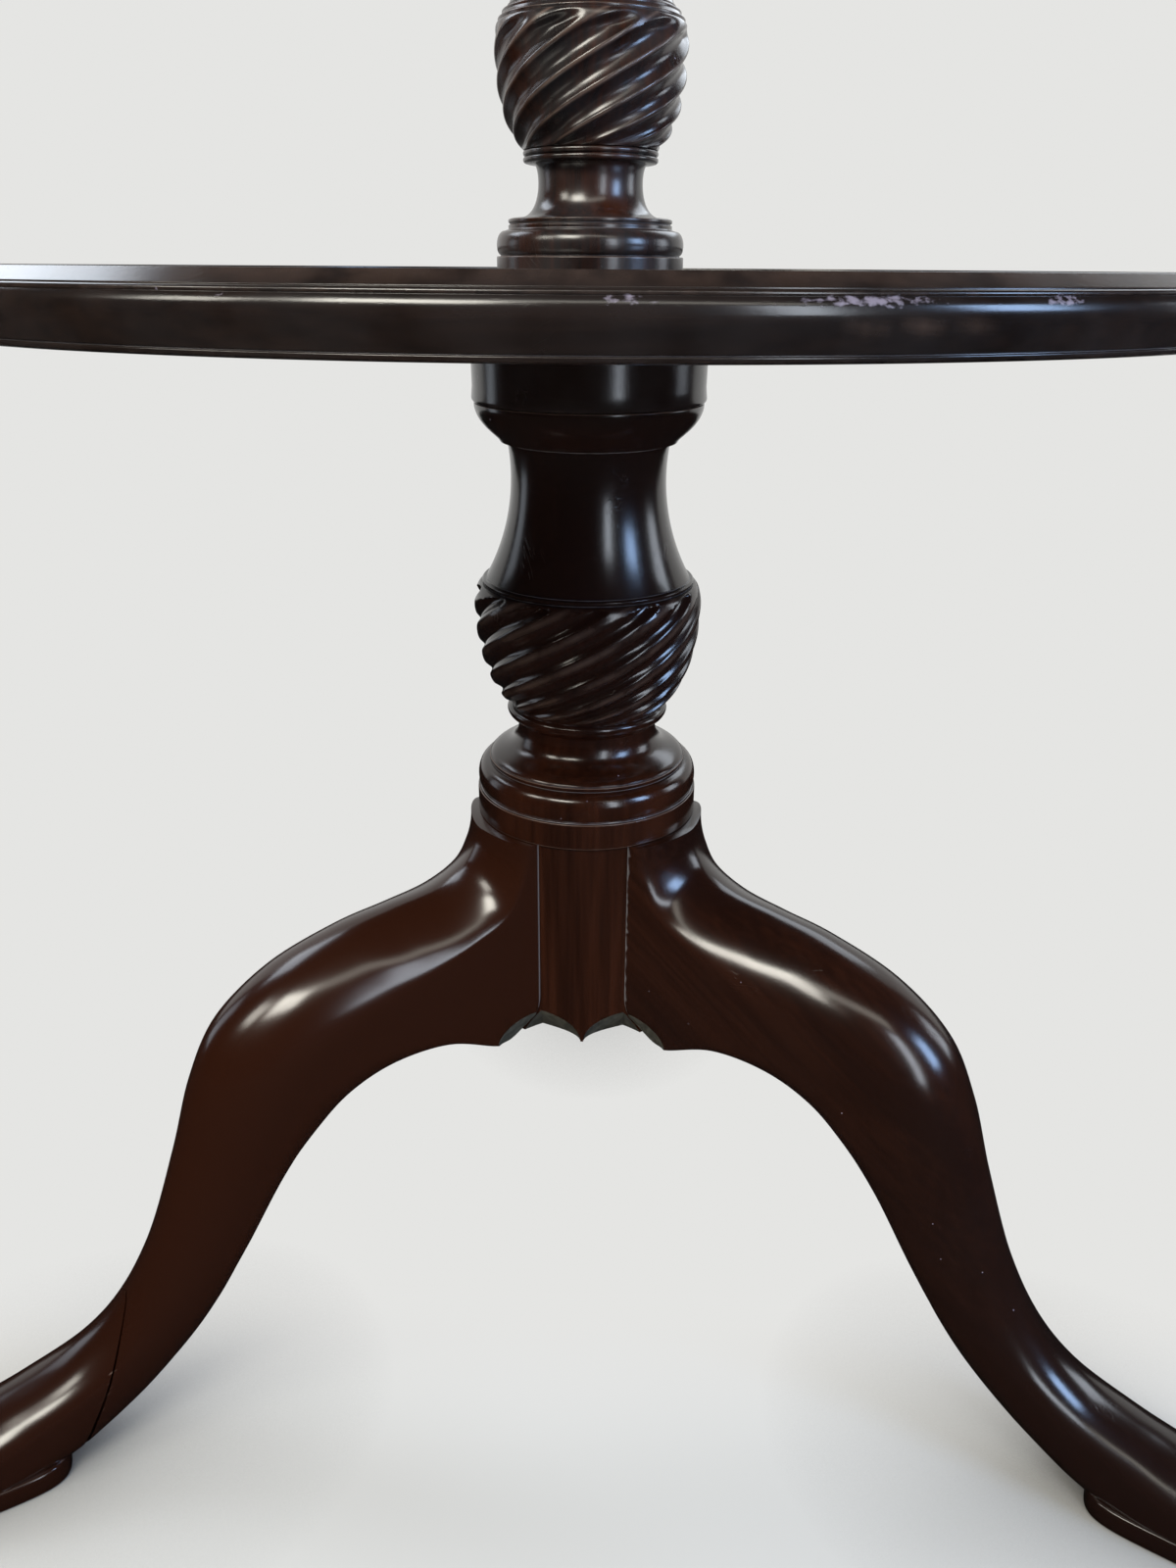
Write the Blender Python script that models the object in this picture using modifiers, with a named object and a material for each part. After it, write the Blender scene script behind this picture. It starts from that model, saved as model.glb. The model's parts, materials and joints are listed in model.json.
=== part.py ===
"""Three-tier mahogany dumbwaiter stand.

A tripod of cabriole legs is dovetailed into the hub of a turned column. The column and the two
stems above it carry spiral-fluted urns, and three dished trays turn on the pins between them.
Metres, +Z up. The origin is on the axis of the stems, at floor level, and the front is at -Y.
"""

import math
from typing import NamedTuple

import bmesh
import bpy
from mathutils import Matrix, Vector
from mathutils.geometry import interpolate_bezier

# Fits and facets
GAP = 0.0003
COLUMN_SEGMENTS = 24
MIDDLE_STEM_SEGMENTS = 18
UPPER_STEM_SEGMENTS = 15
BOSS_SEGMENTS = 20
LOWER_TRAY_SEGMENTS = 36
MIDDLE_TRAY_SEGMENTS = 26
TOP_TRAY_SEGMENTS = 24
SCREW_SEGMENTS = 6
FLUTE_FACETS = 4
LEG_CHEEK_FACETS = 3
LEG_CORNER_FACETS = 2
LEG_SPAN_STEPS = 2

# Trays: a moulded rim round a dished board
LOWER_RIM_Z = 0.500
MIDDLE_RIM_Z = 0.785
TOP_RIM_Z = 1.038
LOWER_TRAY_RADIUS = 0.2492
MIDDLE_TRAY_RADIUS = 0.205
TOP_TRAY_RADIUS = 0.162
RIM_HEIGHT = 0.018
RIM_LAND = 0.0035
RIM_SETBACK = 0.0062
LIP_DEPTH = 0.0050
BOARD_THICKNESS = 0.012
DISH_COVE = 0.006
SEAT_RECESS = 0.0010
SEAT_PLAY = 0.0008

# Bosses: the turned blocks screwed under the trays
LOWER_BOSS_RADIUS = 0.048
MIDDLE_BOSS_RADIUS = 0.037
TOP_BOSS_RADIUS = 0.030
LOWER_BOSS_HEIGHT = 0.0313
MIDDLE_BOSS_HEIGHT = 0.026
TOP_BOSS_HEIGHT = 0.022
BOSS_EDGE = 0.0012
SCREWS_PER_BOSS = 3
SCREW_INSET = 0.0125
SCREW_SHANK_RADIUS = 0.0021
SCREW_HEAD_RADIUS = 0.0042
SCREW_HEAD_DEPTH = 0.0026
SCREW_BITE = 0.0075
SCREW_POINT = 0.003

# Pins that the trays turn on
MIDDLE_PIN_RADIUS = 0.014
UPPER_PIN_RADIUS = 0.010
SPIGOT_RADIUS = 0.0085
SOCKET_DEPTH = 0.050
SPIGOT_SHORTFALL = 0.004

# Column, from the hub up
HUB_BOTTOM_Z = 0.168
HUB_RADIUS = 0.0485
COLLAR_BOTTOM_Z = 0.2698
COLLAR_RADIUS = 0.0503
COLLAR_HEIGHT = 0.0118
BASE_TORUS_RADIUS = 0.0497
BASE_TORUS_HEIGHT = 0.0126
BASE_FILLET_RADIUS = 0.0447
BASE_FILLET_HEIGHT = 0.0022
OGEE_HEIGHT = 0.0085
WAIST_RADIUS = 0.0312
WAIST_HEIGHT = 0.0093
BEAD_RADIUS = 0.0359
BEAD_HEIGHT = 0.0066
URN_FOOT_RADIUS = 0.0352
URN_RADIUS = 0.0494
URN_MOUTH_RADIUS = 0.0462
URN_HEIGHT = 0.0552
URN_SHOULDER = 0.0090
URN_FILLET_RADIUS = 0.0453
URN_FILLET_HEIGHT = 0.0022
NECK_FOOT_RADIUS = 0.0436
NECK_RADIUS = 0.0324
CAPITAL_HEIGHT = 0.0175
CAPITAL_REVEAL = 0.0010

# Stems above the trays, given for the middle one; the upper one repeats it smaller
UPPER_STEM_RATIO = 0.82
PLINTH_RADIUS = 0.0363
PLINTH_HEIGHT = 0.0108
STEM_TORUS_RADIUS = 0.0361
STEM_TORUS_HEIGHT = 0.0076
STEM_FILLET_RADIUS = 0.0316
STEM_FILLET_HEIGHT = 0.0040
SCOTIA_RADIUS = 0.0194
SCOTIA_HEIGHT = 0.0178
RING_RADIUS = 0.0255
RING_HEIGHT = 0.0060
STEM_URN_FOOT_RADIUS = 0.0255
STEM_URN_RADIUS = 0.0357
STEM_URN_MOUTH_RADIUS = 0.0340
STEM_URN_HEIGHT = 0.0405
STEM_URN_SHOULDER = 0.0070
STEM_CAP_FILLET_RADIUS = 0.0330
STEM_CAP_FILLET_HEIGHT = 0.0040
STEM_NECK_FOOT_RADIUS = 0.0300
STEM_NECK_RADIUS = 0.0212
STEM_CAPITAL_HEIGHT = 0.0140

# Spiral carving
COLUMN_FLUTES = 13
MIDDLE_FLUTES = 11
UPPER_FLUTES = 9
FLUTE_DEPTH = 0.0021
REED_SHARE = 0.30
SPIRAL_FROM_UPRIGHT = math.radians(62)
COLUMN_CREST_AZIMUTH = math.radians(-1.3)
STEM_CREST_AZIMUTH = math.radians(-6.3)

# Legs
LEG_AZIMUTHS = {"leg_front_left": -60, "leg_front_right": 60, "leg_back": 180}
LEG_HALF_THICKNESS = 0.029
LEG_PROUD = 0.0070
LEG_ROOT_RADIUS = 0.036
CUSP_RADIUS = 0.060
ARCH_RISE = 0.0075
KNEE_RADIUS = 0.180
KNEE_Z = 0.2015
ANKLE_RADIUS = 0.262
ANKLE_Z = 0.050
ANKLE_HALF_THICKNESS = 0.0192
PAD_THICKNESS = 0.011
PAD_HEEL_RADIUS = 0.270
PAD_TOE_RADIUS = 0.348
PAD_HALF_WIDTH = 0.0230
PAD_EDGE = 0.0012
PAD_POINTS = 16
TOE_SETBACK = 0.0015
HEEL_OVERHANG = 0.002

# Dovetails that hold the legs in the hub
DOVETAIL_DEPTH = 0.016
DOVETAIL_NECK = 0.018
DOVETAIL_TAIL = 0.026
DOVETAIL_SHOULDER = 0.014

# Hollows gouged under the hub where the legs join it
LEG_SCALLOP_RADIUS = 0.0125
LEG_SCALLOP_OFFSET = 0.0086
HUB_SCALLOP_RADIUS = 0.0110
HUB_SCALLOP_OFFSET = 0.0040
SCALLOP_AXIS_LIFT = 0.0015
SCALLOP_SLOPE = 1.4
SCALLOP_OVERRUN = 0.001
SCALLOP_SEGMENTS = 12

# Spliced front left foot: a scarf from the top of the ankle down to the floor behind the pad
SCARF_SETBACK = 0.032
SCARF_RISE = 0.0265
SCARF_STANDOFF = 0.0021
SCARF_OVERRUN = 0.004
SCARF_BLOCK = 0.16

CUT_OVERRUN = 0.004
MERGE = 0.00001


class Tier(NamedTuple):
    """One revolving tray, its boss and the pin that it turns on."""

    name: str
    rim_z: float
    tray_radius: float
    boss_radius: float
    boss_height: float
    pin_radius: float
    plinth_radius: float
    segments: int

    @property
    def board_bottom(self):
        return self.rim_z - RIM_HEIGHT

    @property
    def floor_z(self):
        return self.board_bottom + BOARD_THICKNESS

    @property
    def bored_through(self):
        """True where a stem stands on the tray and its pin goes down through it."""
        return self.plinth_radius > 0.0

    @property
    def boss_top(self):
        return self.board_bottom - GAP

    @property
    def boss_bottom(self):
        return self.boss_top - self.boss_height

    @property
    def seat_z(self):
        """Top of the capital that carries the boss."""
        return self.boss_bottom - GAP


LOWER_TIER = Tier("lower", LOWER_RIM_Z, LOWER_TRAY_RADIUS, LOWER_BOSS_RADIUS, LOWER_BOSS_HEIGHT,
                  MIDDLE_PIN_RADIUS, PLINTH_RADIUS, LOWER_TRAY_SEGMENTS)
MIDDLE_TIER = Tier("middle", MIDDLE_RIM_Z, MIDDLE_TRAY_RADIUS, MIDDLE_BOSS_RADIUS, MIDDLE_BOSS_HEIGHT,
                   UPPER_PIN_RADIUS, UPPER_STEM_RATIO * PLINTH_RADIUS, MIDDLE_TRAY_SEGMENTS)
TOP_TIER = Tier("top", TOP_RIM_Z, TOP_TRAY_RADIUS, TOP_BOSS_RADIUS, TOP_BOSS_HEIGHT,
                SPIGOT_RADIUS, 0.0, TOP_TRAY_SEGMENTS)


# Scene helpers

def clear_scene():
    for obj in list(bpy.data.objects):
        bpy.data.objects.remove(obj, do_unlink=True)


def make_collection(name):
    collection = bpy.data.collections.new(name)
    bpy.context.scene.collection.children.link(collection)
    return collection


def make_material(name, colour, roughness, metallic):
    material = bpy.data.materials.new(name)
    material.use_nodes = True
    shader = material.node_tree.nodes["Principled BSDF"]
    shader.inputs["Base Color"].default_value = (*colour, 1.0)
    shader.inputs["Roughness"].default_value = roughness
    shader.inputs["Metallic"].default_value = metallic
    return material


clear_scene()
PARTS = make_collection("dumbwaiter_stand")
CUTTERS = make_collection("cutters")
DARK_MAHOGANY = make_material("dark_mahogany", (0.030, 0.011, 0.007), 0.28, 0.0)
RED_MAHOGANY = make_material("red_mahogany", (0.052, 0.014, 0.008), 0.25, 0.0)
IRON = make_material("screw_iron", (0.12, 0.11, 0.10), 0.45, 1.0)


def add_part(obj, material, parent):
    """Puts a finished piece in the object's collection, under the empty of its body."""
    PARTS.objects.link(obj)
    obj.data.materials.append(material)
    obj.parent = parent
    obj.matrix_parent_inverse = parent.matrix_world.inverted()
    return obj


def add_cutter(obj):
    """Keeps a helper solid out of the finished object."""
    CUTTERS.objects.link(obj)
    obj.hide_render = True
    obj.display_type = "WIRE"
    return obj


def add_body(name, height):
    """Empty on the axis of the stems that carries the pieces of one body."""
    empty = bpy.data.objects.new(name, None)
    empty.location.z = height
    PARTS.objects.link(empty)
    bpy.context.view_layer.update()
    return empty


def boolean(obj, operation, other):
    modifier = obj.modifiers.new(f"{operation.lower()}_{other.name}", "BOOLEAN")
    modifier.operation = operation
    modifier.solver = "EXACT"
    modifier.object = other


# Modelling helpers

def curve(start, start_handle, end_handle, end, steps):
    """One Bezier stretch of an outline, as a list of (radius, height) points."""
    knots = [Vector(knot) for knot in (start, start_handle, end_handle, end)]
    return [tuple(point) for point in interpolate_bezier(*knots, steps)]


def turned(name, profile, segments, closed=False):
    """Turns an outline about +Z. The outline runs down its outer side."""
    edges = [(i, i + 1) for i in range(len(profile) - 1)]
    if closed:
        edges.append((len(profile) - 1, 0))
    mesh = bpy.data.meshes.new(name)
    mesh.from_pydata([(radius, 0.0, height) for radius, height in profile], edges, [])
    obj = bpy.data.objects.new(name, mesh)
    screw = obj.modifiers.new("turning", "SCREW")
    screw.axis = "Z"
    screw.angle = math.tau
    screw.steps = segments
    screw.render_steps = segments
    screw.use_merge_vertices = True
    screw.merge_threshold = MERGE
    return obj


def loft(name, rings):
    """Closed solid skinned over rings that have the same number of points."""
    bm = bmesh.new()
    loops = [[bm.verts.new(point) for point in ring] for ring in rings]
    for near, far in zip(loops, loops[1:]):
        for i in range(len(near)):
            bm.faces.new((near[i - 1], near[i], far[i], far[i - 1]))
    bm.faces.new(loops[0])
    bm.faces.new(loops[-1])
    bmesh.ops.recalc_face_normals(bm, faces=bm.faces)
    mesh = bpy.data.meshes.new(name)
    bm.to_mesh(mesh)
    bm.free()
    return bpy.data.objects.new(name, mesh)


def smooth_through(rows, steps):
    """Rows of values with a smooth run of extra rows between each two."""
    padded = [rows[0], *rows, rows[-1]]
    result = []
    for before, start, end, after in zip(padded, padded[1:], padded[2:], padded[3:]):
        for step in range(steps):
            t = step / steps
            result.append([
                b + 0.5 * t * ((c - a) + t * ((2 * a - 5 * b + 4 * c - d) + t * (3 * (b - c) + d - a)))
                for a, b, c, d in zip(before, start, end, after)
            ])
    result.append(list(rows[-1]))
    return result


def evaluated_mesh(obj, name):
    """Mesh of an object with its modifiers worked out."""
    bpy.context.view_layer.update()
    depsgraph = bpy.context.evaluated_depsgraph_get()
    mesh = bpy.data.meshes.new_from_object(obj.evaluated_get(depsgraph))
    mesh.name = name
    return mesh


# Spiral-fluted urns

def flute_hollow(phase):
    """Depth share of the carving across one reed and its flute, for a phase of 0 to 1."""
    from_reed = min(phase, 1.0 - phase)
    across = (from_reed - 0.5 * REED_SHARE) / (0.5 - 0.5 * REED_SHARE)
    return math.sin(0.5 * math.pi * across) if across > 0.0 else 0.0


def spiral_twist(profile):
    """Angle that the carving has turned by at each point of an urn's outline."""
    twist = [0.0]
    for (r0, z0), (r1, z1) in zip(profile, profile[1:]):
        run = math.hypot(r1 - r0, z1 - z0)
        twist.append(twist[-1] + math.tan(SPIRAL_FROM_UPRIGHT) * run / (0.5 * (r0 + r1)))
    return twist


def spiral_urn(name, profile, flutes, depth, crest_azimuth):
    """Closed urn from a grid that is wrapped round the axis, with flutes climbing to the right."""
    rows = len(profile) - 1
    columns = flutes * FLUTE_FACETS
    twist = spiral_twist(profile)
    start = crest_azimuth - 0.5 * math.pi - twist[rows // 2]
    bm = bmesh.new()
    bmesh.ops.create_grid(bm, x_segments=columns, y_segments=rows, size=0.5)
    for vert in bm.verts:
        turn = vert.co.x + 0.5
        row = round((vert.co.y + 0.5) * rows)
        ended = row in (0, rows)
        radius, height = profile[row]
        radius -= 0.0 if ended else depth * flute_hollow((turn * flutes) % 1.0)
        angle = start + twist[row] + math.tau * turn
        vert.co = (radius * math.cos(angle), radius * math.sin(angle), height)
    bmesh.ops.remove_doubles(bm, verts=bm.verts, dist=MERGE)
    bmesh.ops.triangulate(bm, faces=bm.faces, quad_method="SHORT_EDGE")
    bmesh.ops.holes_fill(bm, edges=[edge for edge in bm.edges if edge.is_boundary], sides=0)
    bmesh.ops.recalc_face_normals(bm, faces=bm.faces)
    mesh = bpy.data.meshes.new(name)
    bm.to_mesh(mesh)
    bm.free()
    return bpy.data.objects.new(name, mesh)


def urn_profile(foot, widest, mouth, bottom, height, shoulder):
    """Outline of an urn from its foot up, sunk a little into the mouldings at both ends."""
    top = bottom + height
    widest_z = top - shoulder
    belly = widest_z - bottom
    sink = 0.04 * height
    body = curve((foot, bottom), (foot + 0.78 * (widest - foot), bottom + 0.20 * belly),
                 (widest, widest_z - 0.42 * belly), (widest, widest_z), 7)
    crown = curve((widest, widest_z), (widest, widest_z + 0.5 * shoulder),
                  (0.5 * (widest + mouth), top), (mouth, top), 3)
    return [(foot - sink, bottom - sink), *body, *crown[1:], (mouth - 2.0 * sink, top + sink)]


# Column and stems

def capital(radius, top, height, neck):
    """Outline of the round-bottomed capital that a tray's boss sits on."""
    bottom = top - height
    bulge = curve((radius, top - 0.10 * height), (0.95 * radius, top - 0.58 * height),
                  (neck + 0.36 * (radius - neck), bottom + 0.14 * height),
                  (neck + 0.30 * (radius - neck), bottom), 5)
    return [(radius, top), *bulge]


def column_profile():
    """Outline of the column, from the socket in its top to the underside of the hub."""
    seat = LOWER_TIER.seat_z
    socket = MIDDLE_PIN_RADIUS + GAP
    collar_top = COLLAR_BOTTOM_Z + COLLAR_HEIGHT
    torus_top = collar_top + BASE_TORUS_HEIGHT
    fillet_top = torus_top + BASE_FILLET_HEIGHT
    ogee_top = fillet_top + OGEE_HEIGHT
    waist_top = ogee_top + WAIST_HEIGHT
    urn_foot = waist_top + BEAD_HEIGHT
    urn_top = urn_foot + URN_HEIGHT
    neck_foot = urn_top + URN_FILLET_HEIGHT
    neck_top = seat - CAPITAL_HEIGHT
    neck_run = neck_top - neck_foot
    core = WAIST_RADIUS - FLUTE_DEPTH
    neck = curve((NECK_RADIUS + 0.0006, neck_top), (NECK_RADIUS - 0.0010, neck_top - 0.36 * neck_run),
                 (NECK_RADIUS + 0.0019, neck_foot + 0.33 * neck_run), (NECK_FOOT_RADIUS, neck_foot), 6)
    bead = curve((BEAD_RADIUS - 0.0020, urn_foot), (BEAD_RADIUS + 0.0006, urn_foot - 0.25 * BEAD_HEIGHT),
                 (BEAD_RADIUS + 0.0006, waist_top + 0.35 * BEAD_HEIGHT),
                 (WAIST_RADIUS + 0.0008, waist_top), 4)
    ogee = curve((WAIST_RADIUS, ogee_top + 0.3 * WAIST_HEIGHT),
                 (WAIST_RADIUS, fillet_top + 0.60 * OGEE_HEIGHT),
                 (BASE_FILLET_RADIUS - 0.0030, fillet_top + 0.75 * OGEE_HEIGHT),
                 (BASE_FILLET_RADIUS - 0.0006, fillet_top), 5)
    torus = curve((BASE_FILLET_RADIUS + 0.0006, torus_top),
                  (BASE_TORUS_RADIUS + 0.0012, torus_top - 0.10 * BASE_TORUS_HEIGHT),
                  (BASE_TORUS_RADIUS + 0.0006, collar_top + 0.20 * BASE_TORUS_HEIGHT),
                  (BASE_TORUS_RADIUS - 0.0012, collar_top), 5)
    return [
        (0.0, seat - SOCKET_DEPTH), (socket, seat - SOCKET_DEPTH), (socket, seat),
        *capital(LOWER_BOSS_RADIUS - CAPITAL_REVEAL, seat, CAPITAL_HEIGHT, NECK_RADIUS),
        *neck,
        (URN_FILLET_RADIUS, neck_foot), (URN_FILLET_RADIUS, urn_top),
        (core, urn_top), (core, urn_foot),
        *bead, *ogee,
        (BASE_FILLET_RADIUS, fillet_top), (BASE_FILLET_RADIUS, torus_top),
        *torus,
        (COLLAR_RADIUS, collar_top), (COLLAR_RADIUS, COLLAR_BOTTOM_Z),
        (HUB_RADIUS, COLLAR_BOTTOM_Z), (HUB_RADIUS, HUB_BOTTOM_Z), (0.0, HUB_BOTTOM_Z),
    ]


def column_urn():
    urn_foot = (COLLAR_BOTTOM_Z + COLLAR_HEIGHT + BASE_TORUS_HEIGHT + BASE_FILLET_HEIGHT
                + OGEE_HEIGHT + WAIST_HEIGHT + BEAD_HEIGHT)
    profile = urn_profile(URN_FOOT_RADIUS, URN_RADIUS, URN_MOUTH_RADIUS, urn_foot, URN_HEIGHT, URN_SHOULDER)
    return spiral_urn("column_urn", profile, COLUMN_FLUTES, FLUTE_DEPTH, COLUMN_CREST_AZIMUTH)


def build_column(body):
    column = turned("base_column", column_profile(), COLUMN_SEGMENTS)
    boolean(column, "UNION", add_cutter(column_urn()))
    for name, azimuth in LEG_AZIMUTHS.items():
        socket = add_cutter(dovetail(f"socket_{name}", GAP))
        socket.rotation_euler.z = math.radians(azimuth)
        boolean(column, "DIFFERENCE", socket)
        for cone in hub_scallops(name):
            cone.rotation_euler.z += math.radians(azimuth)
            cone.location = Matrix.Rotation(math.radians(azimuth), 3, "Z") @ cone.location
            boolean(column, "DIFFERENCE", add_cutter(cone))
    return add_part(column, RED_MAHOGANY, body)


class Stem(NamedTuple):
    """One turned stem that stands on a tray and carries the next."""

    name: str
    ratio: float
    below: Tier
    above: Tier
    flutes: int
    segments: int

    @property
    def foot_z(self):
        return self.below.floor_z - SEAT_RECESS + GAP

    @property
    def pin_bottom(self):
        return self.below.seat_z - SOCKET_DEPTH + GAP

    @property
    def urn_foot(self):
        return self.foot_z + self.ratio * (PLINTH_HEIGHT + STEM_TORUS_HEIGHT + STEM_FILLET_HEIGHT
                                           + SCOTIA_HEIGHT + RING_HEIGHT)

    @property
    def urn_top(self):
        return self.urn_foot + self.ratio * STEM_URN_HEIGHT


MIDDLE_STEM = Stem("middle_stem", 1.0, LOWER_TIER, MIDDLE_TIER, MIDDLE_FLUTES, MIDDLE_STEM_SEGMENTS)
UPPER_STEM = Stem("upper_stem", UPPER_STEM_RATIO, MIDDLE_TIER, TOP_TIER, UPPER_FLUTES, UPPER_STEM_SEGMENTS)


def stem_top(stem):
    """Socket for the next pin, or the spigot that the top boss turns on."""
    seat = stem.above.seat_z
    if stem.above.bored_through:
        socket = stem.above.pin_radius + GAP
        return [(0.0, seat - SOCKET_DEPTH), (socket, seat - SOCKET_DEPTH), (socket, seat)]
    spigot_top = stem.above.boss_top - SPIGOT_SHORTFALL
    return [(0.0, spigot_top), (stem.above.pin_radius, spigot_top), (stem.above.pin_radius, seat)]


def stem_profile(stem):
    """Outline of a stem, from its top down to the end of its pin."""
    k = stem.ratio
    seat = stem.above.seat_z
    neck_top = seat - k * STEM_CAPITAL_HEIGHT
    neck_foot = stem.urn_top + k * STEM_CAP_FILLET_HEIGHT
    neck_run = neck_top - neck_foot
    neck_radius = k * STEM_NECK_RADIUS
    plinth_top = stem.foot_z + k * PLINTH_HEIGHT
    torus_top = plinth_top + k * STEM_TORUS_HEIGHT
    fillet_top = torus_top + k * STEM_FILLET_HEIGHT
    ring_foot = fillet_top + k * SCOTIA_HEIGHT
    ring_run = stem.urn_foot - ring_foot
    core = k * SCOTIA_RADIUS
    neck = curve((neck_radius, neck_top), (neck_radius + 0.001 * k, neck_top - 0.45 * neck_run),
                 (neck_radius + 0.002 * k, neck_foot + 0.12 * neck_run),
                 (k * STEM_NECK_FOOT_RADIUS, neck_foot), 5)
    ring = curve((k * (RING_RADIUS - 0.0016), stem.urn_foot), (k * (RING_RADIUS + 0.0005), stem.urn_foot),
                 (k * (RING_RADIUS + 0.0005), ring_foot + 0.2 * ring_run),
                 (k * (RING_RADIUS - 0.0030), ring_foot), 4)
    scotia = curve((k * (SCOTIA_RADIUS + 0.0016), ring_foot),
                   (k * (SCOTIA_RADIUS - 0.0012), ring_foot - 0.003 * k),
                   (k * (SCOTIA_RADIUS - 0.0012), fillet_top + 0.008 * k),
                   (k * (SCOTIA_RADIUS + 0.0060), fillet_top), 5)
    torus = curve((k * (STEM_TORUS_RADIUS - 0.0030), torus_top),
                  (k * (STEM_TORUS_RADIUS + 0.0006), torus_top),
                  (k * (STEM_TORUS_RADIUS + 0.0010), plinth_top + 0.0010 * k),
                  (k * (STEM_TORUS_RADIUS - 0.0014), plinth_top), 4)
    return [
        *stem_top(stem),
        *capital(stem.above.boss_radius - CAPITAL_REVEAL, seat, k * STEM_CAPITAL_HEIGHT, neck_radius),
        *neck,
        (k * STEM_CAP_FILLET_RADIUS, neck_foot), (k * STEM_CAP_FILLET_RADIUS, stem.urn_top),
        (core, stem.urn_top), (core, stem.urn_foot),
        *ring, *scotia,
        (k * STEM_FILLET_RADIUS, fillet_top), (k * STEM_FILLET_RADIUS, torus_top),
        *torus,
        (stem.below.plinth_radius, plinth_top), (stem.below.plinth_radius, stem.foot_z),
        (stem.below.pin_radius, stem.foot_z), (stem.below.pin_radius, stem.pin_bottom),
        (0.0, stem.pin_bottom),
    ]


def build_stem(stem, body):
    k = stem.ratio
    profile = urn_profile(k * STEM_URN_FOOT_RADIUS, k * STEM_URN_RADIUS, k * STEM_URN_MOUTH_RADIUS,
                          stem.urn_foot, k * STEM_URN_HEIGHT, k * STEM_URN_SHOULDER)
    obj = turned(stem.name, stem_profile(stem), stem.segments)
    urn = spiral_urn(f"{stem.name}_urn", profile, stem.flutes, k * FLUTE_DEPTH, STEM_CREST_AZIMUTH)
    boolean(obj, "UNION", add_cutter(urn))
    return add_part(obj, DARK_MAHOGANY, body)


# Trays, bosses and screws

def rim_profile(tier):
    """Outline of a tray from the edge of the dish, over the moulded rim, to its underside."""
    radius = tier.tray_radius
    top = tier.rim_z
    bottom = tier.board_bottom
    lip = radius - RIM_SETBACK
    quirk = top - LIP_DEPTH
    dish = lip - RIM_LAND
    roll = curve((lip + 0.35 * RIM_SETBACK, quirk), (radius + 0.0008, quirk - 0.0012),
                 (radius + 0.0006, bottom + 0.0030), (radius - 0.0024, bottom + 0.0012), 4)
    return [(dish - DISH_COVE, tier.floor_z), (dish - 0.35 * DISH_COVE, tier.floor_z + 0.15 * DISH_COVE),
            (dish, top), (lip, top), (lip + 0.2 * RIM_SETBACK, quirk), *roll, (radius - 0.0036, bottom)]


def screw_profile(tier, clearance):
    """Outline of a countersunk wood screw driven up through the boss, or of the hole for it."""
    tip = tier.board_bottom + SCREW_BITE
    head_top = tier.boss_bottom + SCREW_HEAD_DEPTH
    shank = SCREW_SHANK_RADIUS + clearance
    head = SCREW_HEAD_RADIUS + clearance
    return [(0.0, tip + clearance), (0.4 * shank, tip + clearance), (shank, tip + clearance - SCREW_POINT),
            (shank, head_top + clearance), (head, tier.boss_bottom + clearance)]


def screw_places(tier):
    """Centres of the screws under one boss."""
    circle = tier.boss_radius - SCREW_INSET
    for index in range(SCREWS_PER_BOSS):
        angle = math.tau * index / SCREWS_PER_BOSS
        yield circle * math.sin(angle), circle * math.cos(angle)


def build_tier(tier):
    """A tray, its boss and the screws that join them, on an empty at the turning axis. A tray that
    carries a stem has a shallow seat for its plinth."""
    body = add_body(f"{tier.name}_tier", tier.rim_z)
    bore = tier.pin_radius + GAP
    rim = rim_profile(tier)
    if tier.bored_through:
        seat_z = tier.floor_z - SEAT_RECESS
        seat_radius = tier.plinth_radius + SEAT_PLAY
        tray_profile = [(bore, seat_z), (seat_radius, seat_z), (seat_radius, tier.floor_z), *rim,
                        (bore, tier.board_bottom)]
    else:
        tray_profile = [(0.0, tier.floor_z), *rim, (0.0, tier.board_bottom)]
    tray = turned(f"{tier.name}_tray", tray_profile, tier.segments, closed=tier.bored_through)
    outside = [(tier.boss_radius, tier.boss_top), (tier.boss_radius, tier.boss_bottom + BOSS_EDGE),
               (tier.boss_radius - 0.5 * BOSS_EDGE, tier.boss_bottom)]
    boss = turned(f"{tier.name}_boss", [(bore, tier.boss_top), *outside, (bore, tier.boss_bottom)],
                  BOSS_SEGMENTS, closed=True)
    head_foot = tier.boss_bottom - SCREW_HEAD_DEPTH
    for number, (x, y) in enumerate(screw_places(tier), start=1):
        hole_profile = screw_profile(tier, GAP)
        hole_profile += [(hole_profile[-1][0], head_foot), (0.0, head_foot)]
        hole = add_cutter(turned(f"{tier.name}_screw_hole_{number}", hole_profile, SCREW_SEGMENTS))
        hole.location = (x, y, 0.0)
        boolean(tray, "DIFFERENCE", hole)
        boolean(boss, "DIFFERENCE", hole)
        screw = turned(f"{tier.name}_boss_screw_{number}",
                       [*screw_profile(tier, 0.0), (0.0, tier.boss_bottom)], SCREW_SEGMENTS)
        screw.location = (x, y, 0.0)
        add_part(screw, IRON, body)
    add_part(tray, DARK_MAHOGANY, body)
    add_part(boss, DARK_MAHOGANY, body)


# Legs, modelled pointing to -Y and then turned to their places

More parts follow.
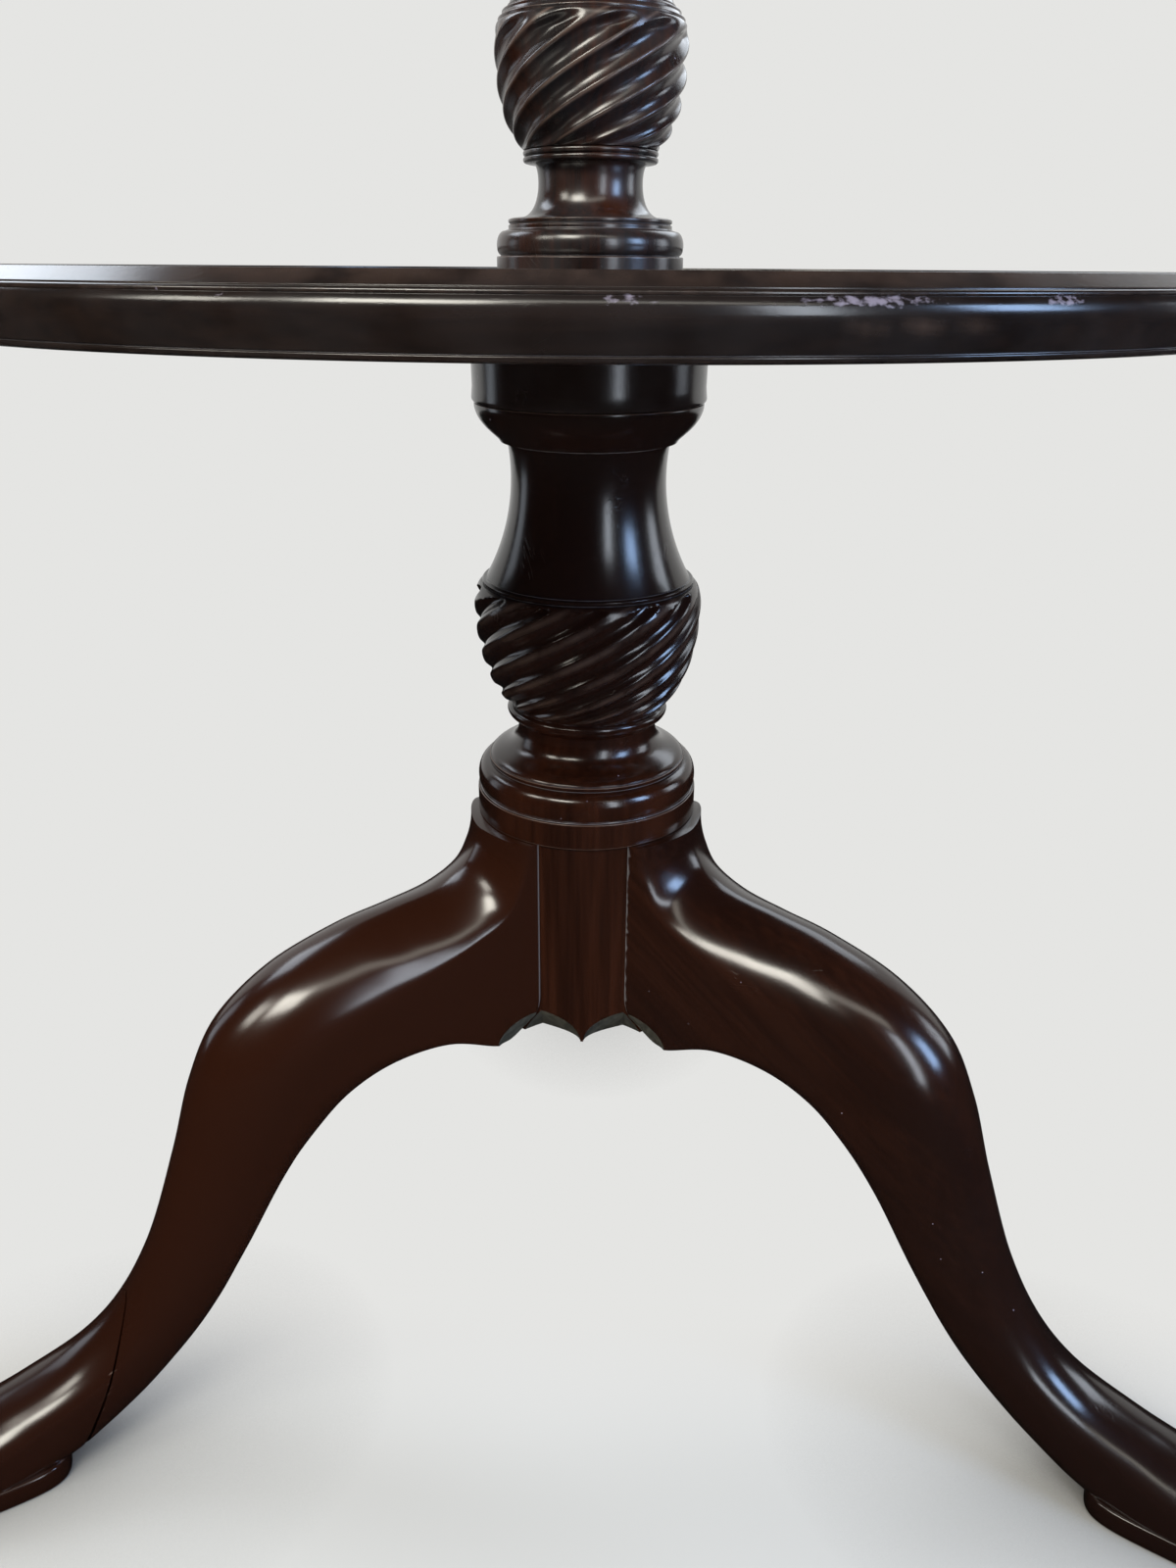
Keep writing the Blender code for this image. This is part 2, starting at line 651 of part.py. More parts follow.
def leg_stations():
    """Rows along the leg: outer radius and height, inner radius and height, half thickness,
    depth of the rounded cheek, how full the cheek is, and how round the edges underneath are."""
    top = COLLAR_BOTTOM_Z - GAP
    shoulder = HUB_RADIUS + LEG_PROUD
    root = LEG_ROOT_RADIUS
    arch = HUB_BOTTOM_Z + ARCH_RISE
    block = LEG_HALF_THICKNESS
    slim = ANKLE_HALF_THICKNESS
    shin = 0.5 * (block + slim)
    toe = PAD_TOE_RADIUS - TOE_SETBACK
    toe_half = PAD_HALF_WIDTH - TOE_SETBACK
    sole = 0.7 * PAD_THICKNESS
    heel = PAD_HEEL_RADIUS - HEEL_OVERHANG
    tread = toe - heel
    knee, knee_z = KNEE_RADIUS, KNEE_Z
    ankle, ankle_z = ANKLE_RADIUS, ANKLE_Z
    return [
        (shoulder, top, root, top, block, 0.012, 1.5, 0.06),
        (shoulder + 0.0016, top - 0.0090, root, top - 0.0340, block, 0.015, 1.5, 0.06),
        (shoulder + 0.0075, top - 0.0178, root, top - 0.0740, block, 0.018, 1.5, 0.06),
        (knee - 0.1030, top - 0.0258, 0.8 * CUSP_RADIUS, HUB_BOTTOM_Z, block, 0.018, 1.5, 0.06),
        (knee - 0.0800, top - 0.0304, CUSP_RADIUS, HUB_BOTTOM_Z, block, 0.024, 1.6, 0.08),
        (knee - 0.0560, top - 0.0358, CUSP_RADIUS + 0.0230, arch, block, 0.030, 1.8, 0.20),
        (knee - 0.0250, knee_z + 0.0195, knee - 0.0730, knee_z - 0.0290, block, 0.034, 2.0, 0.40),
        (knee, knee_z, knee - 0.0530, knee_z - 0.0395, block - 0.001, 0.034, 2.0, 0.54),
        (knee + 0.0140, knee_z - 0.0260, knee - 0.0365, knee_z - 0.0545, block - 0.002, 0.033, 2.0, 0.60),
        (knee + 0.0255, knee_z - 0.0605, knee - 0.0200, knee_z - 0.0760, shin, 0.031, 2.0, 0.66),
        (ankle - 0.0405, ankle_z + 0.0490, ankle - 0.0835, ankle_z + 0.0440, shin - 0.002, 0.028, 2.0, 0.72),
        (ankle - 0.0220, ankle_z + 0.0190, ankle - 0.0685, ankle_z + 0.0175, slim + 0.001, 0.025, 2.0, 0.78),
        (ankle, ankle_z, ankle - 0.0510, ankle_z - 0.0065, slim, 0.021, 2.0, 0.85),
        (ankle + 0.0290, ankle_z - 0.0110, ankle - 0.0250, ankle_z - 0.0295, slim + 0.001, 0.020, 2.0, 0.85),
        (toe - 0.414 * tread, PAD_THICKNESS + 0.0210, heel, sole, toe_half, 0.018, 2.0, 0.60),
        (toe - 0.166 * tread, PAD_THICKNESS + 0.0130, toe - 0.554 * tread, sole, toe_half, 0.016, 2.0, 0.40),
        (toe, PAD_THICKNESS + 0.0010, toe - 0.331 * tread, sole, 0.62 * toe_half, 0.008, 2.0, 0.40),
    ]


def leg_ring(station):
    """Section of the leg at one station: a rounded cheek outside, flat sides and eased edges inside."""
    outer_r, outer_z, inner_r, inner_z, half, cheek, fullness, ease = station
    inner = Vector((inner_r, inner_z))
    depth = Vector((outer_r, outer_z)) - inner
    flat = depth.length - cheek
    axis = depth.normalized()
    half_outline = []
    for step in range(LEG_CHEEK_FACETS + 1):
        angle = 0.5 * math.pi * step / LEG_CHEEK_FACETS
        rise = max(math.cos(angle), 0.0) ** (2.0 / fullness)
        half_outline.append((flat + cheek * rise, half * math.sin(angle) ** (2.0 / fullness)))
    for step in range(LEG_CORNER_FACETS + 1):
        angle = 0.5 * math.pi * step / LEG_CORNER_FACETS
        inset = half * ease * (1.0 - math.cos(angle))
        half_outline.append((flat * ease * (1.0 - math.sin(angle)), half - inset))
    outline = half_outline + [(along, -side) for along, side in half_outline[:0:-1]]
    places = [(inner + axis * along, side) for along, side in outline]
    return [(side, -place.x, place.y) for place, side in places]


def pad():
    """Pad under the foot: a blunt heel and a round toe."""
    middle = 0.5 * (PAD_HEEL_RADIUS + PAD_TOE_RADIUS)
    rings = []
    for height, inset in ((0.0, 0.0), (PAD_THICKNESS - PAD_EDGE, 0.0), (PAD_THICKNESS, PAD_EDGE)):
        ring = []
        for step in range(PAD_POINTS):
            angle = math.tau * (step + 0.5) / PAD_POINTS
            along, across = math.cos(angle), math.sin(angle)
            power = 2.0 / (2.2 if along > 0.0 else 5.0)
            reach = 0.5 * (PAD_TOE_RADIUS - PAD_HEEL_RADIUS) - inset
            place = middle + math.copysign(reach * abs(along) ** power, along)
            side = math.copysign((PAD_HALF_WIDTH - inset) * abs(across) ** power, across)
            ring.append((side, -place, height))
        rings.append(ring)
    return loft("pad", rings)


def dovetail(name, clearance):
    """Vertical dovetail at the root of a leg, or with a clearance the socket for it."""
    root = HUB_RADIUS - DOVETAIL_DEPTH - clearance
    mouth = HUB_RADIUS + 0.5 * LEG_PROUD
    tail = 0.5 * DOVETAIL_TAIL + clearance
    neck = 0.5 * DOVETAIL_NECK + clearance
    bottom = HUB_BOTTOM_Z - (CUT_OVERRUN if clearance else 0.0)
    top = COLLAR_BOTTOM_Z - DOVETAIL_SHOULDER + clearance
    outline = ((tail, root), (neck, mouth), (-neck, mouth), (-tail, root))
    return loft(name, [[(x, -y, z) for x, y in outline] for z in (bottom, top)])


def scallops(name, place, turn, radius):
    """Two cones, one on each side of a leg, that gouge round hollows at a place on it or on the hub."""
    depth = radius / SCALLOP_SLOPE
    reach = depth + SCALLOP_OVERRUN
    lay = Matrix.Rotation(0.5 * math.pi, 4, "X") @ Matrix.Translation((0.0, 0.0, 0.5 * reach - depth))
    cones = []
    for side in (-1, 1):
        bm = bmesh.new()
        bmesh.ops.create_cone(bm, cap_ends=True, segments=SCALLOP_SEGMENTS, radius1=0.0,
                              radius2=SCALLOP_SLOPE * reach, depth=reach, matrix=lay)
        mesh = bpy.data.meshes.new(name)
        bm.to_mesh(mesh)
        bm.free()
        cone = bpy.data.objects.new(f"{name}_{'left' if side < 0 else 'right'}", mesh)
        cone.location = (side * place.x, place.y, HUB_BOTTOM_Z + SCALLOP_AXIS_LIFT)
        cone.rotation_euler.z = side * turn
        cones.append(cone)
    return cones


def leg_scallops():
    """Hollows in the two flat sides of a leg, just outside the hub."""
    seam = math.sqrt(HUB_RADIUS ** 2 - LEG_HALF_THICKNESS ** 2)
    place = Vector((LEG_HALF_THICKNESS, -seam - LEG_SCALLOP_OFFSET))
    return scallops("leg_scallop", place, 0.5 * math.pi, LEG_SCALLOP_RADIUS)


def hub_scallops(name):
    """Hollows in the hub, just beside the two seams of a leg."""
    turn = math.asin(LEG_HALF_THICKNESS / HUB_RADIUS) + HUB_SCALLOP_OFFSET / HUB_RADIUS
    place = HUB_RADIUS * Vector((math.sin(turn), -math.cos(turn)))
    return scallops(f"hub_scallop_{name}", place, turn, HUB_SCALLOP_RADIUS)


def master_leg():
    """One whole leg with its dovetail and pad, as a mesh that points to -Y."""
    leg = loft("leg", [leg_ring(station) for station in smooth_through(leg_stations(), LEG_SPAN_STEPS)])
    CUTTERS.objects.link(leg)
    hub_room = HUB_RADIUS + GAP
    above, below = COLLAR_BOTTOM_Z + CUT_OVERRUN, HUB_BOTTOM_Z - CUT_OVERRUN
    room_profile = [(0.0, above), (hub_room, above), (hub_room, below), (0.0, below)]
    boolean(leg, "DIFFERENCE", add_cutter(turned("hub_room", room_profile, COLUMN_SEGMENTS)))
    for cone in leg_scallops():
        boolean(leg, "DIFFERENCE", add_cutter(cone))
    boolean(leg, "UNION", add_cutter(dovetail("tongue", 0.0)))
    boolean(leg, "UNION", add_cutter(pad()))
    mesh = evaluated_mesh(leg, "leg")
    bpy.data.objects.remove(leg)
    return mesh


def scarf_block(name, clearance):
    """Block beyond the scarf of the spliced foot, standing off by a clearance."""
    floor = Vector((PAD_HEEL_RADIUS - SCARF_STANDOFF, 0.0))
    middle = 0.5 * (ANKLE_RADIUS + PAD_HEEL_RADIUS)
    top = Vector((middle - SCARF_SETBACK, ANKLE_Z + SCARF_RISE))
    along = (top - floor).normalized()
    outward = Vector((along.y, -along.x))
    end = top + along * SCARF_OVERRUN
    centre = end - along * 0.5 * SCARF_BLOCK + outward * (0.5 * SCARF_BLOCK + clearance)
    bm = bmesh.new()
    bmesh.ops.create_cube(bm, size=SCARF_BLOCK)
    mesh = bpy.data.meshes.new(name)
    bm.to_mesh(mesh)
    bm.free()
    block = bpy.data.objects.new(name, mesh)
    turn = Matrix.Rotation(math.radians(LEG_AZIMUTHS["leg_front_left"]), 4, "Z")
    tilt = Matrix.Rotation(math.atan2(-outward.y, outward.x), 4, "X")
    block.matrix_world = turn @ Matrix.Translation((0.0, -centre.x, centre.y)) @ tilt
    return add_cutter(block)


def build_legs(body):
    mesh = master_leg()
    for name, azimuth in LEG_AZIMUTHS.items():
        leg = bpy.data.objects.new(name, mesh.copy())
        leg.rotation_euler.z = math.radians(azimuth)
        if name == "leg_front_left":
            boolean(leg, "DIFFERENCE", scarf_block("scarf_on_leg", 0.0))
        add_part(leg, RED_MAHOGANY, body)
    foot = bpy.data.objects.new("leg_front_left_foot", mesh.copy())
    foot.rotation_euler.z = math.radians(LEG_AZIMUTHS["leg_front_left"])
    boolean(foot, "INTERSECT", scarf_block("scarf_on_foot", GAP))
    add_part(foot, RED_MAHOGANY, body)


def main():
    stand = add_body("stand", 0.0)
    build_column(stand)
    build_legs(stand)
    for stem in (MIDDLE_STEM, UPPER_STEM):
        build_stem(stem, stand)
    for tier in (LOWER_TIER, MIDDLE_TIER, TOP_TIER):
        build_tier(tier)


main()
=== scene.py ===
"""Finish for the dumbwaiter stand.

Fine turned, carved and moulded pieces stand for the plain solids of the frame, in dark polished
mahogany with worn edges, old wax and dust, painted shade on the legs and a painted sheen and
reflection on the rims, on a pale studio floor with a painted contact shadow. Metres, +Z up, front
at -Y.
"""

import json
import math
from typing import NamedTuple

import bmesh
import bpy
import numpy as np
from bpy.props import FloatProperty, FloatVectorProperty, IntProperty, PointerProperty
from bpy.types import Operator, Panel, PropertyGroup
from mathutils import Matrix, Vector
from mathutils.geometry import interpolate_bezier

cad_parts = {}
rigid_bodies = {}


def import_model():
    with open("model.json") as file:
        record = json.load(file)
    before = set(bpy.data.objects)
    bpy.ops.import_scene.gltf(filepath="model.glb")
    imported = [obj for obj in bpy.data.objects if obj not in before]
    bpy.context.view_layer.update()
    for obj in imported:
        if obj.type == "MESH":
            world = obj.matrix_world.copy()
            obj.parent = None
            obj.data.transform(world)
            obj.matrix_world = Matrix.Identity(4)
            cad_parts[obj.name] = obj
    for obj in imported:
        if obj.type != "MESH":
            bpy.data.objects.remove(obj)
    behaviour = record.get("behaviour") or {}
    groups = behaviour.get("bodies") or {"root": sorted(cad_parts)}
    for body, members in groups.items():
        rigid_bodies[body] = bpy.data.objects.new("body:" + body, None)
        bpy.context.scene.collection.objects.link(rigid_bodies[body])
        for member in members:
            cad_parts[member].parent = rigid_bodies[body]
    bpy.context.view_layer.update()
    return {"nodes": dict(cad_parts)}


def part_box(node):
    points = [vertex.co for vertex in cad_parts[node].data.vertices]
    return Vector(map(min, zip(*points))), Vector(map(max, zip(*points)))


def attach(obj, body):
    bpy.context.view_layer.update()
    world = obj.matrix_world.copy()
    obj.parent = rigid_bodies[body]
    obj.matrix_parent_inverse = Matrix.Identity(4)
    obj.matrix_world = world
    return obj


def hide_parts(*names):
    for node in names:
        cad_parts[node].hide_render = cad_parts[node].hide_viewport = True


bl_info = {
    "name": "Dumbwaiter Stand Finish",
    "version": (1, 0, 0),
    "blender": (4, 5, 0),
    "location": "3D View > Sidebar > Dumbwaiter",
    "description": "Turns, carves and polishes the pieces of a tiered mahogany dumbwaiter stand",
    "category": "Object",
}

for start_object in list(bpy.data.objects):
    bpy.data.objects.remove(start_object, do_unlink=True)

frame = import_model()

GAP = 0.0003
MERGE = 0.000001
# How far cutters reach past what they cut
OVERCUT = 0.004
# Easing of outlines: least turn, facets, and the share of a stretch that it may take
EASE_FROM = math.radians(24)
EASE_FACETS = 4
EASE_SHARE = 0.45
SMOOTH_BELOW = math.radians(38)
# Marks on sharp edges: least squared length of an edge, and the scale of its bend
LEAST_SQUARE = 2e-8
BEND_SCALE = 0.0007

UP = (0.0, 0.0, 1.0)
RIGHT = (1.0, 0.0, 0.0)
BACK = (0.0, 1.0, 0.0)
TIERS = ("lower", "middle", "top")

# Heights of the column's mouldings
SEAT_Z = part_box("base_column")[1].z
HUB_BOTTOM_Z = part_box("base_column")[0].z
COLLAR_Z = 0.2698
COLLAR_TOP = 0.2816
TORUS_TOP = 0.2942
FILLET_TOP = 0.2964
WAIST_TOP = 0.3142
URN_FOOT = 0.3208
URN_TOP = 0.3760
NECK_FOOT = 0.3782
NECK_TOP = 0.4342

# Share of the black stain at some heights of the column, and on the bosses
STAIN = ((0.309, 0.0), (0.330, 0.74), (0.3755, 0.74), (NECK_FOOT, 0.85))
BOSS_STAIN = 0.85

# Carving of the urns, against the depth of their flutes
REED_DROP = 0.26
FLUTE_ARCH = 1.5
FLUTE_MARGIN = 0.3
COLUMN_WALL = 0.7
STEM_WALL = 2.2
FLUTE_FADE = 2.6
CREST_SHARE = 0.6
COLUMN_CREST = math.radians(1.0)
STEM_CREST = math.radians(-6.3)
RUB_SHARE = 0.38
COLUMN_RUB = 0.42
STEM_RUB = 0.95

# Radii of the bores and sockets, of the pins in them and of the plinths, and the plinths' seats
BORES = {"lower": 0.0143, "middle": 0.0103, "top": 0.0088}
PINS = {"middle": 0.014, "upper": 0.010}
SPIGOT = 0.0085
SOCKET_DEPTH = 0.050
PLINTH = 0.0363
SEAT_DEPTH = 0.0010
SEAT_PLAY = 0.0008

# Hub, and the legs round it: their turns and half the turn between two of them, in degrees
HUB_RADIUS = 0.0485
HUB_FACETS = 192
LEG_HALF = 0.029
LEG_TURNS = {"leg_front_left": -60, "leg_front_right": 60, "leg_back": 180}
HALF_TURN = 60
LEG_GRAIN = (0.0, -0.80, -0.60)

# Samples on a leg's cheek, on its corner and round it
CHEEK_SAMPLES = 49
CORNER_SAMPLES = 17
RING_SAMPLES = 1024
# Points picked from each stretch, and how they crowd to its end, or at 0 to both its ends
SECTION_PICKS = ((18, 1.5), (8, 0.0), (7, 0.0), (3, 0.0))

# Dovetails at the roots of the legs
TAIL_DEPTH = 0.016
TAIL_PROUD = 0.0035
TAIL_HALF = 0.013
TAIL_NECK = 0.009
TAIL_DROP = 0.014

# Pads: heel, toe, half width, how square heel and toe are, and heights with their insets
PAD_HEEL = 0.270
PAD_TOE = 0.3469
PAD_HALF = 0.0229
HEEL_SQUARE = 5.0
TOE_SQUARE = 2.2
PAD_RINGS = ((0.0, 0.0012), (0.0005, 0.0003), (0.0012, 0.0), (0.0096, 0.0), (0.0104, 0.0002),
             (0.0109, 0.0008), (0.0110, 0.0016))

# Painted shade up the legs, kept in the stain's share: height and share. The legs away from the lit
# left get more, and it deepens towards the feet.
SHADED_LEG = ((0.0, 0.92), (0.06, 0.85), (0.17, 0.55), (0.28, 0.25), (0.34, 0.0))
LIT_LEG = ((0.0, 0.35), (0.05, 0.20), (0.14, 0.0))

# Scarf of the spliced foot, out from the axis and up, and the block beyond it
SCARF_TOP = Vector((0.234, 0.0765))
SCARF_HEEL = Vector((0.2635, 0.010))
SCARF_PAST_HEEL = 0.100
SCARF_BLOCK = 0.16

# Places round the rims, turn and width in degrees: scuffs, whose lilac also paints the window's
# reflection on the roll, and worn dents
RIM_SCUFFS_AND_SHEEN = ((3.5, 0.9), (14.9, 2.8), (26.3, 1.2), (-17.0, 0.6), (-150.0, 6.0), (110.0, 5.0))
RIM_DENTS = ((15.0, 0.5), (18.0, 0.3), (20.8, 0.2), (-140.0, 1.5), (70.0, 1.0))
# Bands of the rims, drop from the top and spread: the roll, scuffed and painted with the window's
# reflection; the face, with worn dents; the top, painted with a sheen of the room above
SCUFFED_AND_SHEEN_ROLL = (0.0056, 0.0015)
WORN_FACE = (0.0105, 0.0011)
PAINTED_SHEEN_SLOPE = (0.0012, 0.0012)
RIM_WIDTH = 0.0065

# Gouged arches under the hub, two between each two legs
ARCH_RISE = 0.0145
ARCH_SLOPE = 1.4
ARCH_REACH = 0.0195
ARCH_FACETS = 25
ARCH_ROOM = 0.003
CUSP = 0.0006

# Radii between which the dust in the legs' seams comes and goes
SEAM_FROM = (HUB_RADIUS + 0.00005, HUB_RADIUS + 0.0002)
SEAM_TO = (HUB_RADIUS + 0.0011, HUB_RADIUS + 0.0003)

LAMP_AIM = Vector((0.0, -0.05, 0.28))
LAMP_DISTANCE = 1.9
LAMP_WHITE = (1.0, 0.965, 0.86)
WINDOW_BLUE = (0.42, 0.63, 1.0)
WINDOW_PALE = (0.82, 0.90, 1.0)
# Name, turn to the right of the front and height in degrees, size in metres, watts, colour
LAMPS = (
    ("lamp", -28.0, 43.0, (0.70, 0.46), 22.0, LAMP_WHITE),
    ("left_lamp", -60.0, 36.0, (0.42, 0.42), 6.5, LAMP_WHITE),
    ("soft_box", -8.0, 50.0, (2.40, 0.28), 8.0, LAMP_WHITE),
    ("front_window", 30.0, 18.0, (0.28, 1.10), 9.5, WINDOW_PALE),
    ("right_window", 62.0, 22.0, (0.42, 0.66), 17.0, WINDOW_BLUE),
    ("side_window", 102.0, 14.0, (0.46, 0.70), 5.5, WINDOW_PALE),
    ("left_window", -108.0, 6.0, (0.40, 0.90), 1.8, WINDOW_PALE),
    ("left_back_window", -119.0, 40.0, (0.60, 0.60), 6.5, WINDOW_PALE),
    ("back_window", 148.0, 36.0, (0.90, 0.70), 6.0, WINDOW_PALE),
)

# Floor: size, reach of the contact shadow that is painted into its colour, and where the backdrop's
# colour comes in
FLOOR_RADIUS = 14.0
FLOOR_SEGMENTS = 96
CONTACT_SHADOW = 0.10
BACKDROP_FROM = (-0.175, -0.045)
LIT_FLOOR = (0.42, 0.80)

# Dark cloths: half width, back edge, lowest and highest, darkest and palest
CLOTH_HALF = 2.6
CLOTH_BACK = 1.5
CLOTH_LOW = 0.0005
CLOTH_HIGH = 2.6
CLOTH_FACES = ((0, 1, 2, 3), (0, 4, 5, 1), (1, 5, 6, 2), (2, 6, 7, 3), (4, 7, 6, 5))
CLOTH_COLOURS = ((0.008, 0.008, 0.008), (0.012, 0.012, 0.012))


# Settings

def number_of(name, description, default, low):
    return IntProperty(name=name, description=description, default=default, min=low)


def metres(name, description, default):
    return FloatProperty(name=name, description=description, default=default, min=0.0,
                         unit="LENGTH", precision=5)


def factor(name, description, default, low=0.0, high=1.0):
    return FloatProperty(name=name, description=description, default=default, min=low, max=high,
                         subtype="FACTOR")


def degrees(name, description, default):
    return FloatProperty(name=name, description=description, default=math.radians(default),
                         subtype="ANGLE")


def tint(name, description, *default):
    return FloatVectorProperty(name=name, description=description, default=default, min=0.0,
                               max=1.0, subtype="COLOR")


class TurningSettings(PropertyGroup):
    """Turned pieces and their spiral carving"""

    segments: number_of("Segments", "Facets round a turned piece", 144, 24)
    easing: metres("Eased edges", "Radius of the eased turned edges", 0.0004)
    column_flutes: number_of("Column flutes", "Flutes round the column's urn", 13, 3)
    middle_flutes: number_of("Middle flutes", "Flutes round the middle stem's urn", 11, 3)
    upper_flutes: number_of("Upper flutes", "Flutes round the upper stem's urn", 9, 3)
    flute_facets: number_of("Flute facets", "Facets across one reed and flute", 20, 6)
    flute_depth: metres("Flute depth", "Depth of the flutes on the column", 0.0023)
    column_reed: factor("Column reeds", "Width of a reed in the reed and flute", 0.46, 0.05, 0.9)
    stem_reed: factor("Stem reeds", "Width of a reed in the reed and flute", 0.22, 0.05, 0.9)
    spiral_angle: degrees("Spiral angle", "Slope of the carving from upright", 62)
    upper_ratio: factor("Upper stem size", "Upper stem against the middle one", 0.82, 0.3)


class TraySettings(PropertyGroup):
    """Dished trays"""

    segments: number_of("Segments", "Facets round a tray", 240, 24)
    rim_land: metres("Rim land", "Width of the flat top of the rim", 0.0035)
    rim_setback: metres("Rim setback", "Rim's top behind its widest place", 0.0062)
    board: metres("Board", "Thickness of the dished board", 0.012)
    dish_cove: metres("Dish cove", "Cove at the edge of the dish", 0.006)


class LegSettings(PropertyGroup):
    """Cabriole legs"""

    span_steps: number_of("Span steps", "Sections between two stations", 8, 2)
    arris: metres("Arris", "Softness of the long edges", 0.0008)
    pad_points: number_of("Pad points", "Points round a pad", 72, 16)
    crack: metres("Scarf opening", "Gap of the spliced foot at its heel", 0.0016)


class FinishSettings(PropertyGroup):
    """Polish, wear, and the colours of painted shade and sheen"""

    # The near black stains the column and bosses, and on the legs it paints shade.
    near_black: tint("Near black", "Stained parts of the wood", 0.0105, 0.0050, 0.0040)
    dark_brown: tint("Dark brown", "Ground of the dark wood", 0.0068, 0.0045, 0.0040)
    dark_figure: tint("Dark figure", "Figure of the dark wood", 0.0150, 0.0088, 0.0068)
    red_brown: tint("Red brown", "Ground of the red wood", 0.0135, 0.0038, 0.0018)
    red_figure: tint("Red figure", "Figure of the red wood", 0.0340, 0.0096, 0.0042)
    # The rubbed colour also paints a sheen on the tops of the rims.
    rubbed: tint("Rubbed wood", "Reeds and edges rubbed to the wood", 0.115, 0.072, 0.055)
    # The lilac of the scuffs also paints the window's reflection along the rims' rolls.
    scuffed: tint("Scuffed wood", "Bare scuffs on the rims", 0.260, 0.225, 0.290)
    gouged: tint("Gouged wood", "Dull wood in the hollows under the hub", 0.058, 0.053, 0.038)
    dust: tint("Dust", "Wax and dust in the quirks", 0.125, 0.115, 0.120)
    iron: tint("Iron", "Wood screws", 0.115, 0.105, 0.096)
    roughness: factor("Roughness", "Roughness of the polish", 0.19)


class StudioSettings(PropertyGroup):
    """Floor, lamps and camera"""

    backdrop: tint("Backdrop", "Colour behind the stand", 0.783, 0.783, 0.768)
    floor: tint("Floor", "Colour of the floor", 0.715, 0.700, 0.675)
    room: factor("Room light", "Light from all round", 0.10)
    azimuth: degrees("Azimuth", "Camera's turn to the right of the front", 1.7)
    distance: metres("Distance", "Camera to the axis", 0.5)
    height: metres("Height", "Camera above the floor", 0.50045)
    yaw: degrees("Yaw", "Camera's turn from the axis", -0.08)
    pitch: degrees("Pitch", "Camera's look down", 23.9)
    roll: degrees("Roll", "Camera's tilt", 0.417)
    lens: FloatProperty(name="Lens", description="Focal length in millimetres", default=26.8,
                        unit="CAMERA")


# Outlines and meshes

def bezier(start, start_handle, end_handle, end, steps):
    """One Bezier stretch of an outline, as (radius, height) points."""
    knots = [Vector(knot) for knot in (start, start_handle, end_handle, end)]
    return [tuple(point) for point in interpolate_bezier(*knots, steps)]


def eased(outline, radius):
    """Outline with its sharp corners rounded off, and a guard point on each side of them."""
    points = [Vector(point) for point in outline]
    result = [points[0]]
    for before, corner, after in zip(points, points[1:], points[2:]):
        into, away = corner - before, after - corner
        turn = into.angle(away)
        if turn < EASE_FROM:
            result.append(corner)
            continue
        room_before, room_after = EASE_SHARE * into.length, EASE_SHARE * away.length
        reach = min(radius * math.tan(0.5 * turn), room_before, room_after)
        start = corner - reach * into.normalized()
        end = corner + reach * away.normalized()
        guard = reach + radius
        if guard < room_before:
            result.append(corner - guard * into.normalized())
        for step in range(EASE_FACETS + 1):
            t = step / EASE_FACETS
            result.append(start.lerp(corner, t).lerp(corner.lerp(end, t), t))
        if guard < room_after:
            result.append(corner + guard * away.normalized())
    result.append(points[-1])
    return [tuple(point) for point in result]


def grid_mesh(name, points, closed=False):
    """Mesh over rows of points that run round the piece. The rows at its two ends are filled."""
    rows, columns = points.shape[:2]
    rings = np.arange(rows * columns).reshape(rows, columns)
    ends = [] if closed else [rings[0].tolist(), rings[-1, ::-1].tolist()]
    if closed:
        rings = np.vstack((rings, rings[:1]))
    upper, lower = rings[:-1], rings[1:]
    next_upper, next_lower = np.roll(upper, -1, axis=1), np.roll(lower, -1, axis=1)
    quads = np.stack((upper, lower, next_lower, next_upper), axis=-1)
    mesh = bpy.data.meshes.new(name)
    mesh.from_pydata(points.reshape(-1, 3).tolist(), [], quads.reshape(-1, 4).tolist() + ends)
    bm = bmesh.new()
    bm.from_mesh(mesh)
    bmesh.ops.remove_doubles(bm, verts=bm.verts, dist=MERGE)
    bmesh.ops.dissolve_degenerate(bm, edges=bm.edges, dist=MERGE)
    bmesh.ops.recalc_face_normals(bm, faces=bm.faces)
    bm.to_mesh(mesh)
    bm.free()
    return mesh


def revolve(name, outline, segments, twist=0.0, carving=0.0, closed=False):
    """Mesh of an outline turned about +Z. A twist turns its rows, a carving takes off radius."""
    outline = np.array(outline)
    angle = math.tau * np.arange(segments) / segments + np.reshape(twist, (-1, 1))
    radius = outline[:, :1] - carving
    x, y = radius * np.cos(angle), radius * np.sin(angle)
    height = np.broadcast_to(outline[:, 1:], x.shape)
    return grid_mesh(name, np.stack((x, y, height), axis=-1), closed)


def new_object(name, data):
    obj = bpy.data.objects.new(name, data)
    bpy.context.scene.collection.objects.link(obj)
    return obj


def cut(obj, operation, other):
    modifier = obj.modifiers.new(operation.lower(), "BOOLEAN")
    modifier.operation = operation
    modifier.solver = "EXACT"
    modifier.material_mode = "TRANSFER"
    modifier.object = other


def settle(obj):
    """Works the object's modifiers into its mesh and removes the cutters that they used."""
    bpy.context.view_layer.update()
    depsgraph = bpy.context.evaluated_depsgraph_get()
    mesh = bpy.data.meshes.new_from_object(obj.evaluated_get(depsgraph))
    cutters = {modifier.object for modifier in obj.modifiers if modifier.type == "BOOLEAN"}
    obj.modifiers.clear()
    obj.data = mesh
    for cutter in cutters:
        bpy.data.objects.remove(cutter)


def rows_of(items, key, width, kind=np.float64):
    """One value of every item of a mesh, as rows of an array."""
    values = np.empty(width * len(items), kind)
    items.foreach_get(key, values)
    return values.reshape(-1, width)


